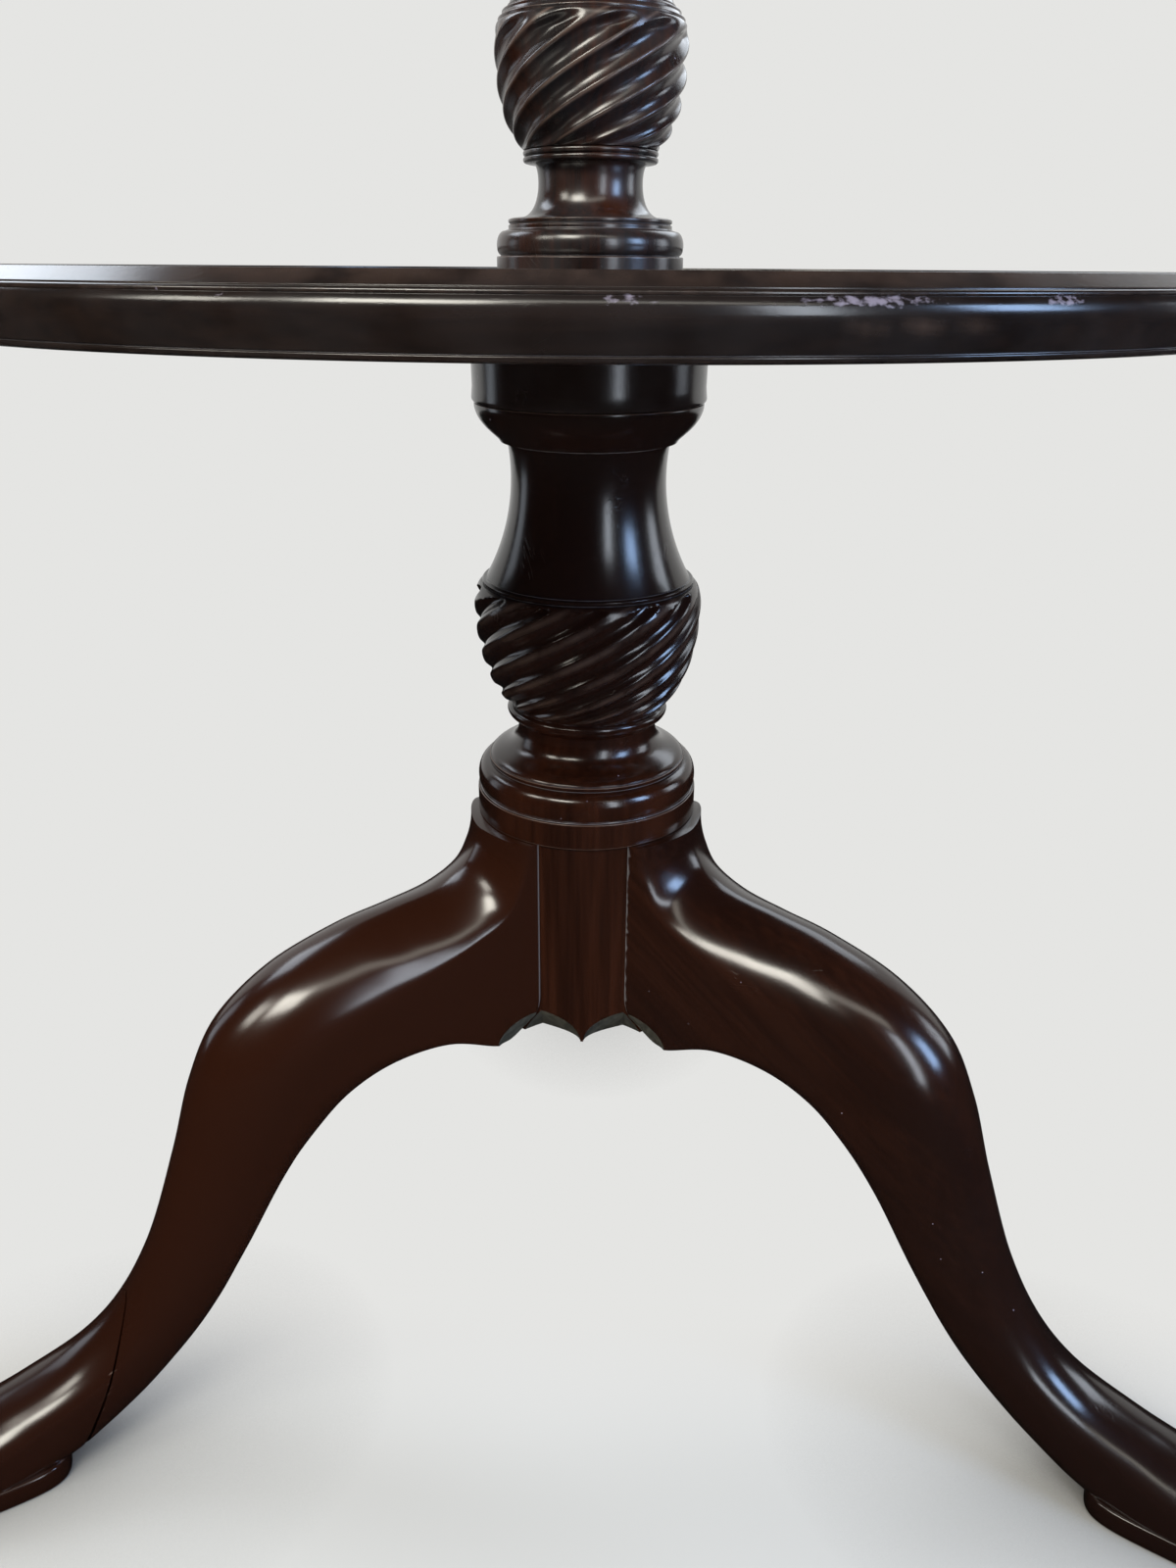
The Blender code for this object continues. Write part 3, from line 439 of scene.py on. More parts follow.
def point_values(mesh):
    """Places of a mesh's points, as an array."""
    return rows_of(mesh.vertices, "co", 3)


def store(mesh, name, values):
    """Keeps one number for each point of a mesh."""
    attribute = mesh.attributes.new(name, "FLOAT", "POINT")
    attribute.data.foreach_set("value", np.ascontiguousarray(values, np.float32))


def store_stain(mesh, stain_and_shade):
    """Keeps the share of the near black at some heights: real staining on the column, painted shade
    on the legs.
    """
    store(mesh, "stain_and_shade", np.interp(point_values(mesh)[:, 2], *zip(*stain_and_shade)))


def store_edges(mesh):
    """Keeps how sharply each point stands out, above 0 on edges and below 0 in quirks."""
    places = point_values(mesh)
    normals = rows_of(mesh.vertices, "normal", 3)
    ends = rows_of(mesh.edges, "vertices", 2, np.int32)
    bend = np.zeros(len(places))
    count = np.zeros(len(places))
    for here, there in ((ends[:, 0], ends[:, 1]), (ends[:, 1], ends[:, 0])):
        away = places[here] - places[there]
        reach = np.maximum(np.einsum("ij,ij->i", away, away), LEAST_SQUARE)
        np.add.at(bend, here, 2.0 * np.einsum("ij,ij->i", normals[here], away) / reach)
        np.add.at(count, here, 1.0)
    store(mesh, "edge", np.clip(BEND_SCALE * bend / np.maximum(count, 1.0), -1.0, 1.0))


def store_wood(mesh, grain, side, board_start=0.0):
    """Keeps each point's place in its board: along the grain, across it and through it."""
    grain = Vector(grain).normalized()
    through = grain.cross(Vector(side)).normalized()
    across = through.cross(grain)
    attribute = mesh.attributes.new("wood", "FLOAT_VECTOR", "POINT")
    board = point_values(mesh) @ np.array((grain, across, through)).T + board_start
    attribute.data.foreach_set("vector", np.ascontiguousarray(board.ravel(), np.float32))


def dress(obj, nodes, body):
    """Smooth shading, and the piece's place in the frame."""
    obj.data.polygons.foreach_set("use_smooth", [True] * len(obj.data.polygons))
    obj.data.set_sharp_from_angle(angle=SMOOTH_BELOW)
    store_edges(obj.data)
    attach(obj, body)
    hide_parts(*nodes)


# Turnings

class Carving(NamedTuple):
    """Spiral carving of one urn"""

    flutes: int
    depth: float
    crest_turn: float
    reed_share: float
    angle: float
    wall: float


def spiral_twist(urn, carving):
    """Turn of each row of an urn from its mouth down. A reed's crest is at crest_turn."""
    step = np.linalg.norm(np.diff(urn, axis=0), axis=1)
    middle = 0.5 * (urn[1:, 0] + urn[:-1, 0])
    twist = -np.concatenate(([0.0], np.cumsum(math.tan(carving.angle) * step / middle)))
    crest_z = urn[-1, 1] + CREST_SHARE * (urn[0, 1] - urn[-1, 1])
    return twist + carving.crest_turn - 0.5 * math.pi - np.interp(-crest_z, -urn[:, 1], twist)


def spiral_depth(urn, columns, carving):
    """Depth of the carving: round reeds between flutes, which end in arches under the mouth."""
    depth = carving.depth
    step = np.linalg.norm(np.diff(urn, axis=0), axis=1)
    run = np.concatenate(([0.0], np.cumsum(step)))[:, None]
    phase = (np.arange(columns) * carving.flutes / columns) % 1.0
    from_reed = np.minimum(phase, 1.0 - phase)
    reed = 0.5 * carving.reed_share
    round_reed = 1.0 - np.sqrt(1.0 - np.clip(from_reed / reed, 0.0, 1.0) ** 2)
    flute = np.clip((from_reed - reed) / (0.5 - reed), 0.0, 1.0)
    section = REED_DROP * round_reed + (1.0 - REED_DROP) * np.sin(0.5 * math.pi * flute)
    arch = FLUTE_ARCH * depth * (1.0 - np.sqrt(1.0 - (1.0 - flute) ** 2))
    mouth = np.clip((run - FLUTE_MARGIN * depth - arch) / (carving.wall * depth), 0.0, 1.0)
    foot = np.clip((run[-1] - run) / (FLUTE_FADE * depth), 0.0, 1.0)
    return depth * section * mouth * mouth * (3.0 - 2.0 * mouth) * foot * (2.0 - foot)


def urn_outline(foot, widest, mouth, bottom, top, shoulder, fullness):
    """Outline of an urn from its mouth down, with close rows under the mouth."""
    belly = top - shoulder - bottom
    crown = bezier((mouth, top), (0.5 * (widest + mouth), top), (widest, top - 0.5 * shoulder),
                   (widest, top - shoulder), 24)
    body = bezier((widest, top - shoulder), (widest, top - shoulder - 0.42 * belly),
                  (foot + fullness * (widest - foot), bottom + 0.20 * belly), (foot, bottom), 44)
    return crown + body[1:]


def capital_outline(radius, top, height, neck):
    """Round-bottomed capital with a fillet and a quirk over the neck."""
    bottom = top - height
    spread = radius - neck
    bulge = bezier((radius, top - 0.10 * height), (0.975 * radius, top - 0.52 * height),
                   (neck + 0.47 * spread, bottom + 0.24 * height),
                   (neck + 0.34 * spread, bottom + 0.10 * height), 14)
    return [(radius, top), *bulge, (neck + 0.30 * spread, bottom + 0.04 * height),
            (neck + 0.10 * spread, bottom)]


def carved_turning(name, outlines, carving, settings):
    """One mesh for a turned piece with a spiral urn between its mouldings."""
    above, urn, below = outlines
    above = eased(above, settings.easing)
    below = eased(below, settings.easing)
    urn = np.array(urn)
    columns = carving.flutes * settings.flute_facets
    twist = np.pad(spiral_twist(urn, carving), (len(above), len(below)), mode="edge")
    depth = np.pad(spiral_depth(urn, columns, carving), ((len(above), len(below)), (0, 0)))
    return revolve(name, [*above, *urn, *below], columns, twist, depth)


def rub_reeds(mesh, urn, carving, share):
    """Marks the crests of the reeds, which are worn to a paler brown."""
    x, y, z = point_values(mesh).T
    urn = np.array(urn)
    inside = (z > urn[-1, 1]) & (z < urn[0, 1])
    turn = np.arctan2(y, x) - np.interp(-z, -urn[:, 1], spiral_twist(urn, carving))
    phase = (turn / math.tau * carving.flutes) % 1.0
    from_reed = np.minimum(phase, 1.0 - phase)
    rub_and_sheen = np.clip(1.0 - from_reed / (RUB_SHARE * carving.reed_share), 0.0, 1.0)
    store(mesh, "rub_and_sheen", share * inside * rub_and_sheen)


def column_outlines():
    """Outline of the column above its urn, the urn, and the outline from the urn to the hub."""
    socket = BORES["lower"]
    neck = bezier((0.0335, NECK_TOP - 0.0012), (0.0306, NECK_TOP - 0.0200),
                  (0.0346, NECK_FOOT + 0.0165), (0.0440, NECK_FOOT), 26)
    above = [(0.0, SEAT_Z - SOCKET_DEPTH), (socket, SEAT_Z - SOCKET_DEPTH), (socket, SEAT_Z),
             *capital_outline(0.0470, SEAT_Z, SEAT_Z - NECK_TOP, 0.0324), *neck,
             (0.0450, NECK_FOOT + 0.0001), (0.0457, NECK_FOOT - 0.0006),
             (0.0457, URN_TOP + 0.0008), (0.0451, URN_TOP)]
    urn = urn_outline(0.0338, 0.0494, 0.0462, URN_FOOT, URN_TOP, 0.0090, 0.70)
    bead = bezier((0.0346, URN_FOOT - 0.0004), (0.0368, URN_FOOT - 0.0012),
                  (0.0366, WAIST_TOP + 0.0018), (0.0320, WAIST_TOP + 0.0002), 12)
    cove = bezier((0.0310, WAIST_TOP - 0.0012), (0.0303, FILLET_TOP + 0.0022),
                  (0.0410, FILLET_TOP + 0.0052), (0.0440, FILLET_TOP + 0.0004), 22)
    torus = bezier((0.0450, TORUS_TOP), (0.0511, TORUS_TOP - 0.0008),
                   (0.0504, COLLAR_TOP + 0.0022), (0.0488, COLLAR_TOP + 0.0006), 16)
    below = [*bead, (0.0316, WAIST_TOP - 0.0002), *cove, (0.0438, FILLET_TOP),
             (0.0447, FILLET_TOP - 0.0001), (0.0447, TORUS_TOP + 0.0006),
             (0.0442, TORUS_TOP + 0.0001), *torus, (0.0490, COLLAR_TOP - 0.0001),
             (0.0502, COLLAR_TOP - 0.0002), (0.0503, COLLAR_TOP - 0.0018), (0.0503, COLLAR_Z),
             *[(HUB_RADIUS, z) for z in np.linspace(COLLAR_Z, HUB_BOTTOM_Z, 36)],
             (0.0, HUB_BOTTOM_Z)]
    return above, urn, below


def stem_outlines(k, foot_z, pin, seat, boss_radius, top):
    """The same for a stem of size k that stands on a tray."""
    def at(points, z):
        return [(k * radius, z + k * height) for radius, height in points]

    plinth_top = foot_z + k * 0.0108
    torus_top = plinth_top + k * 0.0088
    fillet_top = torus_top + k * 0.0043
    ring_foot = fillet_top + k * 0.0186
    urn_foot = ring_foot + k * 0.0047
    urn_top = urn_foot + k * 0.0405
    neck_foot = urn_top + k * 0.0040
    neck_top = seat - k * 0.0140
    run = neck_top - neck_foot
    neck = bezier((k * 0.0219, neck_top - 0.0012), (k * 0.0220, neck_top - 0.45 * run),
                  (k * 0.0232, neck_foot + 0.12 * run), (k * 0.0292, neck_foot + k * 0.0034), 30)
    fillets = at([(0.0300, 0.0032), (0.0306, 0.0028), (0.0306, 0.0020), (0.0316, 0.0014),
                  (0.0326, 0.0012), (0.0326, 0.0002), (0.0332, -0.0008), (0.0341, -0.0011),
                  (0.0341, -0.0020)], neck_foot - k * 0.0018)
    capital = capital_outline(boss_radius - 0.0010, seat, k * 0.0140, k * 0.0212)
    above = [*top, *capital, *neck, *fillets]
    urn = urn_outline(k * 0.0255, k * 0.0357, k * 0.0340, urn_foot, urn_top, k * 0.0070, 0.78)
    bead = bezier((0.0246, 0.0021), (0.0260, 0.0022), (0.0260, 0.0001), (0.0246, 0.0), 8)
    beads = at(bead, ring_foot + k * 0.0024) + at(bead, ring_foot + k * 0.0002)
    scotia = bezier((k * 0.0213, ring_foot), (k * 0.0192, ring_foot - k * 0.0020),
                    (k * 0.0186, fillet_top + k * 0.0022),
                    (k * 0.0262, fillet_top + k * 0.0004), 20)
    torus = bezier((k * 0.0331, torus_top), (k * 0.0367, torus_top),
                   (k * 0.0371, plinth_top + k * 0.0010),
                   (k * 0.0347, plinth_top + k * 0.0002), 14)
    below = [*at([(0.0248, -0.0002)], urn_foot), *beads, *scotia,
             *at([(0.0306, 0.0), (0.0316, -0.0004), (0.0316, -0.0014), (0.0308, -0.0019),
                  (0.0316, -0.0024), (0.0316, -0.0038)], fillet_top),
             *torus, (k * 0.0350, plinth_top - 0.0001), (k * PLINTH, plinth_top - k * 0.0002),
             (k * PLINTH, foot_z), (pin[0], foot_z), pin, (0.0, pin[1])]
    return above, urn, below


# Trays

def rim_outline(settings, radius, top, bottom):
    """Outline of a tray from the floor of its dish over the moulded rim to its underside."""
    floor_z = bottom + settings.board
    lip = radius - settings.rim_setback
    dish = lip - settings.rim_land
    cove = settings.dish_cove
    return [(dish - cove - 0.003, floor_z), (dish - cove - 0.001, floor_z),
            *bezier((dish - cove, floor_z), (dish - 0.35 * cove, floor_z),
                    (dish - 0.06 * cove, floor_z + 0.45 * cove), (dish, top), 10),
            (lip, top), (lip + 0.0041, top - 0.0031), (lip + 0.0041, top - 0.0034),
            *bezier((lip + 0.0043, top - 0.0034), (lip + 0.0051, top - 0.0036),
                    (lip + 0.0053, top - 0.0043), (lip + 0.0049, top - 0.0047), 10),
            *bezier((lip + 0.0050, top - 0.0048), (lip + 0.0058, top - 0.0058),
                    (radius, top - 0.0067), (radius, top - 0.0081), 16),
            *bezier((radius, top - 0.0084), (radius - 0.0002, top - 0.0108),
                    (radius - 0.0009, bottom + 0.0045), (radius - 0.0016, bottom + 0.0020), 8),
            (radius - 0.0021, bottom + 0.0018), (radius - 0.0017, bottom + 0.0014),
            (radius - 0.0018, bottom + 0.0006), (radius - 0.0032, bottom)]


def worn_band(points, top, band):
    """How near each point is to a band of the rim."""
    drop, spread = band
    return np.exp(-0.5 * ((points[:, 2] - (top - drop)) / spread) ** 2)


def worn_places(points, places):
    """Gentle patches round given turns and of given widths in degrees."""
    turn = np.degrees(np.arctan2(points[:, 0], -points[:, 1]))
    patches = np.zeros(len(points))
    for middle, width in places:
        away = (turn - middle + 180.0) % 360.0 - 180.0
        patches = np.maximum(patches, np.exp(-0.5 * (away / width) ** 2))
    return patches


def wear_rim(mesh, top):
    """Scuffs along the rim's roll, more at a few knocked places, in a lilac that also paints the
    window's reflection; worn dents; and a painted sheen on the top.
    """
    points = point_values(mesh)
    outside = np.hypot(points[:, 0], points[:, 1]) > points[:, 0].max() - RIM_WIDTH
    knocks_and_sheen = worn_places(points, RIM_SCUFFS_AND_SHEEN)
    # Painted reflection: a band along the roll in the scuffs' lilac, where the window mirrors,
    # stronger at the scuffed places.
    store(mesh, "scuff_and_sheen", outside * worn_band(points, top, SCUFFED_AND_SHEEN_ROLL) * (0.42 + 0.66 * knocks_and_sheen))
    dents = worn_band(points, top, WORN_FACE) * worn_places(points, RIM_DENTS)
    # Painted sheen: the top of the rim in the rubbed colour, where the room above would mirror.
    painted_sheen = worn_band(points, top, PAINTED_SHEEN_SLOPE)
    store(mesh, "rub_and_sheen", outside * np.maximum(0.30 * dents, 0.34 * painted_sheen))


# Legs, modelled pointing to -Y and then turned to their places

def leg_stations():
    """Rows along the leg: outer radius and height, inner radius and height, half thickness,
    depth of the rounded cheek, how full the cheek is, and how round the edges underneath are."""
    top = COLLAR_Z - GAP
    shoulder = HUB_RADIUS + 0.0070
    root = 0.036
    return [
        (shoulder, top, root, top, LEG_HALF, 0.012, 1.5, 0.06),
        (shoulder + 0.0016, top - 0.0090, root, top - 0.0340, LEG_HALF, 0.015, 1.5, 0.06),
        (shoulder + 0.0075, top - 0.0178, root, top - 0.0740, LEG_HALF, 0.018, 1.5, 0.06),
        (0.0770, top - 0.0258, 0.0480, HUB_BOTTOM_Z, LEG_HALF, 0.018, 1.5, 0.06),
        (0.1000, top - 0.0304, 0.0600, HUB_BOTTOM_Z, LEG_HALF, 0.024, 1.6, 0.08),
        (0.1240, top - 0.0358, 0.0830, HUB_BOTTOM_Z + 0.0075, LEG_HALF, 0.030, 1.8, 0.20),
        (0.1550, 0.2210, 0.1070, 0.1725, LEG_HALF, 0.034, 2.0, 0.40),
        (0.1800, 0.2015, 0.1270, 0.1620, 0.0280, 0.034, 2.0, 0.54),
        (0.1940, 0.1755, 0.1435, 0.1470, 0.0270, 0.033, 2.0, 0.60),
        (0.2055, 0.1410, 0.1600, 0.1255, 0.0241, 0.031, 2.0, 0.66),
        (0.2215, 0.0990, 0.1785, 0.0940, 0.0221, 0.028, 2.0, 0.72),
        (0.2400, 0.0690, 0.1935, 0.0675, 0.0202, 0.025, 2.0, 0.78),
        (0.2620, 0.0500, 0.2110, 0.0435, 0.0192, 0.021, 2.0, 0.85),
        (0.2910, 0.0390, 0.2370, 0.0205, 0.0202, 0.020, 2.0, 0.85),
        (0.3140, 0.0320, 0.2680, 0.0077, 0.0215, 0.018, 2.0, 0.60),
        (0.3335, 0.0240, 0.3030, 0.0077, 0.0215, 0.016, 2.0, 0.40),
        (0.3465, 0.0120, 0.3205, 0.0077, 0.0133, 0.008, 2.0, 0.40),
    ]


def smooth_through(rows, steps):
    """Rows of values with a smooth run of extra rows between each two."""
    rows = np.array(rows)
    padded = np.vstack((rows[:1], rows, rows[-1:]))
    result = []
    for a, b, c, d in zip(padded, padded[1:], padded[2:], padded[3:]):
        square, cube = 2 * a - 5 * b + 4 * c - d, 3 * (b - c) + d - a
        for t in np.arange(steps) / steps:
            result.append(b + 0.5 * t * ((c - a) + t * (square + t * cube)))
    return [*result, rows[-1]]


def leg_section(station, softness):
    """Ring of points round one section of the leg, with its arrises softened."""
    outer_r, outer_z, inner_r, inner_z, half, cheek, fullness, ease = station
    inner = np.array((inner_r, inner_z))
    depth = np.array((outer_r, outer_z)) - inner
    length = np.linalg.norm(depth)
    flat = length - cheek
    bow = np.linspace(0.0, 0.5 * math.pi, CHEEK_SAMPLES)
    curve = np.stack((flat + cheek * np.maximum(np.cos(bow), 0.0) ** (2.0 / fullness),
                      half * np.sin(bow) ** (2.0 / fullness)), axis=1)
    turn = np.linspace(0.0, 0.5 * math.pi, CORNER_SAMPLES)
    corner = np.stack((flat * ease * (1.0 - np.sin(turn)),
                       half * (1.0 - ease * (1.0 - np.cos(turn)))), axis=1)
    outline = np.vstack((curve, corner, [(0.0, 0.0)]))
    run = np.concatenate(([0.0], np.cumsum(np.linalg.norm(np.diff(outline, axis=0), axis=1))))
    corner_end = CHEEK_SAMPLES + CORNER_SAMPLES - 1
    marks = run[[0, CHEEK_SAMPLES - 1, CHEEK_SAMPLES, corner_end, len(outline) - 1]]
    picks = []
    for start, end, (count, crowd) in zip(marks, marks[1:], SECTION_PICKS):
        t = np.arange(count) / count
        spread = 1.0 - (1.0 - t) ** crowd if crowd else 0.5 - 0.5 * np.cos(math.pi * t)
        picks.append(start + (end - start) * spread)
    picks = np.concatenate((*picks, marks[-1:]))
    whole = np.vstack((outline, outline[-2::-1] * (1.0, -1.0)))
    whole_run = np.concatenate((run, 2.0 * run[-1] - run[-2::-1]))
    pitch = whole_run[-1] / RING_SAMPLES
    even = np.arange(RING_SAMPLES) * pitch
    ring = np.stack([np.interp(even, whole_run, whole[:, axis]) for axis in (0, 1)], axis=1)
    waves = np.fft.rfftfreq(RING_SAMPLES, pitch)
    soft = np.exp(-2.0 * (math.pi * softness * waves) ** 2)[:, None]
    ring = np.fft.irfft(np.fft.rfft(ring, axis=0) * soft, RING_SAMPLES, axis=0)
    ring = np.vstack((ring, ring[:1]))
    even = np.append(even, whole_run[-1])
    at = np.concatenate((picks, whole_run[-1] - picks[-2:0:-1]))
    along, side = (np.interp(at, even, values) for values in ring.T)
    place = inner + np.outer(along, depth / length)
    return np.stack((side, -place[:, 0], place[:, 1]), axis=1)


def pad_mesh(points):
    """Pad under a foot: a blunt heel, a round toe and eased edges."""
    middle, reach = 0.5 * (PAD_HEEL + PAD_TOE), 0.5 * (PAD_TOE - PAD_HEEL)
    angle = math.tau * (np.arange(points) + 0.5) / points
    along, across = np.cos(angle), np.sin(angle)
    power = np.where(along > 0.0, 2.0 / TOE_SQUARE, 2.0 / HEEL_SQUARE)
    along, across = (np.sign(part) * np.abs(part) ** power for part in (along, across))
    rings = []
    for height, inset in PAD_RINGS:
        out = middle + (reach - inset) * along
        rings.append(np.stack(((PAD_HALF - inset) * across, -out, np.full(points, height)), axis=1))
    return grid_mesh("pad", np.array(rings))


def arch_cutter(turn, material):
    """Gouge for the two arches between two legs, which share a cusp in the middle of the hub."""
    side = math.radians(HALF_TURN) - math.asin(LEG_HALF / HUB_RADIUS)
    seam = HUB_RADIUS * Vector((math.sin(side), -math.cos(side)))
    sweep = np.linspace(0.0, 0.5 * math.pi, ARCH_FACETS)
    x = np.concatenate((seam.x - (seam.x - CUSP) * np.sin(sweep[::-1]),
                        seam.x + ARCH_REACH * np.sin(sweep[1:])))
    rise = (ARCH_RISE + GAP) * np.concatenate((np.cos(sweep[::-1]), np.cos(sweep[1:]))) - GAP
    on_hub = -np.sqrt(np.maximum(HUB_RADIUS ** 2 - x ** 2, 0.0))
    on_leg = seam.y - (x - seam.x) / math.tan(math.radians(HALF_TURN))
    front = np.where(x < seam.x, on_hub, on_leg)
    x = np.concatenate((-x[::-1], x))
    rise, front = (np.concatenate((half[::-1], half)) for half in (rise, front))
    low = np.full(len(x), HUB_BOTTOM_Z - ARCH_ROOM)
    high = HUB_BOTTOM_Z + rise + ARCH_SLOPE * ARCH_ROOM
    rings = np.stack((np.stack((x, front - ARCH_ROOM, low), axis=1),
                      np.stack((x, front - ARCH_ROOM, high), axis=1),
                      np.stack((x, front + (rise + ARCH_ROOM) / ARCH_SLOPE, low), axis=1)), axis=1)
    mesh = grid_mesh("arches", rings)
    mesh.materials.append(material)
    mesh.transform(Matrix.Rotation(math.radians(turn), 4, "Z"))
    return new_object("arches", mesh)


def dovetail(clearance):
    """Vertical dovetail at the root of a leg, or with a clearance the socket for it."""
    root = HUB_RADIUS - TAIL_DEPTH - clearance
    mouth = HUB_RADIUS + TAIL_PROUD
    tail = TAIL_HALF + clearance
    neck = TAIL_NECK + clearance
    bottom = HUB_BOTTOM_Z - (OVERCUT if clearance else 0.0)
    top = COLLAR_Z - TAIL_DROP + clearance
    rings = [[(tail, -root, z), (neck, -mouth, z), (-neck, -mouth, z), (-tail, -root, z)]
             for z in (bottom, top)]
    return new_object("dovetail", grid_mesh("dovetail", np.array(rings)))


def leg_mesh(settings, finish):
    """One whole leg with its dovetail, its gouged hollows and its pad."""
    stations = smooth_through(leg_stations(), settings.span_steps)
    sections = [leg_section(station, settings.arris) for station in stations]
    leg = new_object("leg", grid_mesh("leg", np.array(sections)))
    leg.data.materials.append(red_mahogany(finish))
    bevel = leg.modifiers.new("eased top", "BEVEL")
    bevel.width = 0.0006
    bevel.segments = 2
    bevel.angle_limit = math.radians(60)
    radius, high, low = HUB_RADIUS + GAP, COLLAR_Z + OVERCUT, HUB_BOTTOM_Z - OVERCUT
    room = [(0.0, high), (radius, high), (radius, low), (0.0, low)]
    cut(leg, "DIFFERENCE", new_object("hub_room", revolve("hub_room", room, HUB_FACETS)))
    for turn in (-HALF_TURN, HALF_TURN):
        cut(leg, "DIFFERENCE", arch_cutter(turn, gouged_mahogany(finish)))
    cut(leg, "UNION", dovetail(0.0))
    cut(leg, "UNION", new_object("pad", pad_mesh(settings.pad_points)))
    settle(leg)
    mesh = leg.data
    bpy.data.objects.remove(leg)
    return mesh


def scarf_block(name, top_gap, heel_gap):
    """Block beyond the scarf of the spliced foot, standing off by a gap at each end."""
    scarf = SCARF_TOP - SCARF_HEEL
    along = scarf.normalized()
    outward = Vector((along.y, -along.x))
    top = SCARF_TOP + OVERCUT * along + top_gap * outward
    heel = SCARF_HEEL - SCARF_PAST_HEEL * along
    heel += (top_gap + (heel_gap - top_gap) * (top - heel).length / scarf.length) * outward
    away = SCARF_BLOCK * outward
    outline = [top, heel, heel + away, top + away]
    rings = [[(side, -corner.x, corner.y) for corner in outline]
             for side in (-0.5 * SCARF_BLOCK, 0.5 * SCARF_BLOCK)]
    block = new_object(name, grid_mesh(name, np.array(rings)))
    block.rotation_euler.z = math.radians(LEG_TURNS["leg_front_left"])
    return block


# Materials

class Bench:
    """Adds nodes to one node tree and wires them."""

    def __init__(self, tree):
        self.tree = tree

    def node(self, kind, inputs=(), **options):
        node = self.tree.nodes.new(kind)
        for option, value in options.items():
            setattr(node, option, value)
        self.feed(node, dict(inputs))
        return node

    def feed(self, node, inputs):
        """Wires or sets inputs of a node. A colour is set by its three parts."""
        for key, value in inputs.items():
            socket = node.inputs[key]
            if isinstance(value, bpy.types.NodeSocket):
                self.tree.links.new(value, socket)
            else:
                socket.default_value = (*value, 1.0) if socket.type == "RGBA" else value

    def effect(self, maker, **inputs):
        """Outputs of a shared effect, whose node group is built once."""
        group = bpy.data.node_groups.get(maker.__name__) or maker()
        return self.node("ShaderNodeGroup", inputs, node_tree=group).outputs

    def math(self, operation, first, second=0.0, third=0.0):
        values = {0: first, 1: second, 2: third}
        return self.node("ShaderNodeMath", values, operation=operation).outputs[0]

    def step(self, value, low, high):
        """0 below low, 1 above high, and smooth between."""
        ramp = self.node("ShaderNodeMapRange", {"Value": value, "From Min": low, "From Max": high},
                         interpolation_type="SMOOTHSTEP")
        return ramp.outputs[0]

    def mix(self, share, first, second):
        blend = self.node("ShaderNodeMix", {0: share, 6: first, 7: second}, data_type="RGBA")
        return blend.outputs[2]

    def place(self):
        return self.node("ShaderNodeTexCoord").outputs["Object"]

    def axis(self, vector, name):
        return self.node("ShaderNodeSeparateXYZ", {0: vector}).outputs[name]

    def length(self, vector):
        node = self.node("ShaderNodeVectorMath", {0: vector}, operation="LENGTH")
        return node.outputs["Value"]

    def scaled(self, vector, scale):
        node = self.node("ShaderNodeVectorMath", {0: vector, 1: scale}, operation="MULTIPLY")
        return node.outputs[0]

    def wood(self):
        """Place in the board, along the grain first."""
        return self.node("ShaderNodeAttribute", attribute_name="wood").outputs["Vector"]

    def mark(self, name):
        """Number that is kept for the points of the surface."""
        return self.node("ShaderNodeAttribute", attribute_name=name).outputs["Fac"]

    def noise(self, vector, scale, detail=2.0):
        """Noise with so many cells to the metre along each axis."""
        inputs = {"Vector": self.scaled(vector, scale), "Scale": 1.0, "Detail": detail}
        return self.node("ShaderNodeTexNoise", inputs).outputs[0]


def effect_group(name, inputs, outputs):
    """New shader node group with named sockets: its bench, its given values and its output."""
    tree = bpy.data.node_groups.new(name, "ShaderNodeTree")
    for direction, sockets in (("INPUT", inputs), ("OUTPUT", outputs)):
        for socket, kind in sockets.items():
            tree.interface.new_socket(socket, in_out=direction, socket_type=f"NodeSocket{kind}")
    bench = Bench(tree)
    return bench, bench.node("NodeGroupInput").outputs, bench.node("NodeGroupOutput")


def mahogany_figure():
    """Ribbon figure, fine streaks and pores along the grain, darker by the staining and, on the
    legs, by painted shade.
    """
    bench, given, made = effect_group(
        "mahogany_figure", {"Ground": "Color", "Figure": "Color", "Stain": "Color"},
        {"Colour": "Color", "Pores": "Float"})
    wood = bench.wood()
    ribbon = bench.noise(wood, (3.0, 38.0, 38.0), 3.0)
    streak = bench.noise(wood, (14.0, 420.0, 420.0), 2.0)
    pores = bench.step(bench.noise(wood, (130.0, 2300.0, 2300.0), 1.0), 0.60, 0.72)
    figure = bench.math("MULTIPLY_ADD", streak, 0.40, bench.math("MULTIPLY", ribbon, 0.80))
    colour = bench.mix(bench.step(figure, 0.44, 0.78), given["Ground"], given["Figure"])
    # The stain's share also paints shade on the legs.
    darkened = bench.mix(bench.mark("stain_and_shade"), colour, given["Stain"])
    bench.feed(made, {"Colour": darkened, "Pores": pores})
    return bench.tree


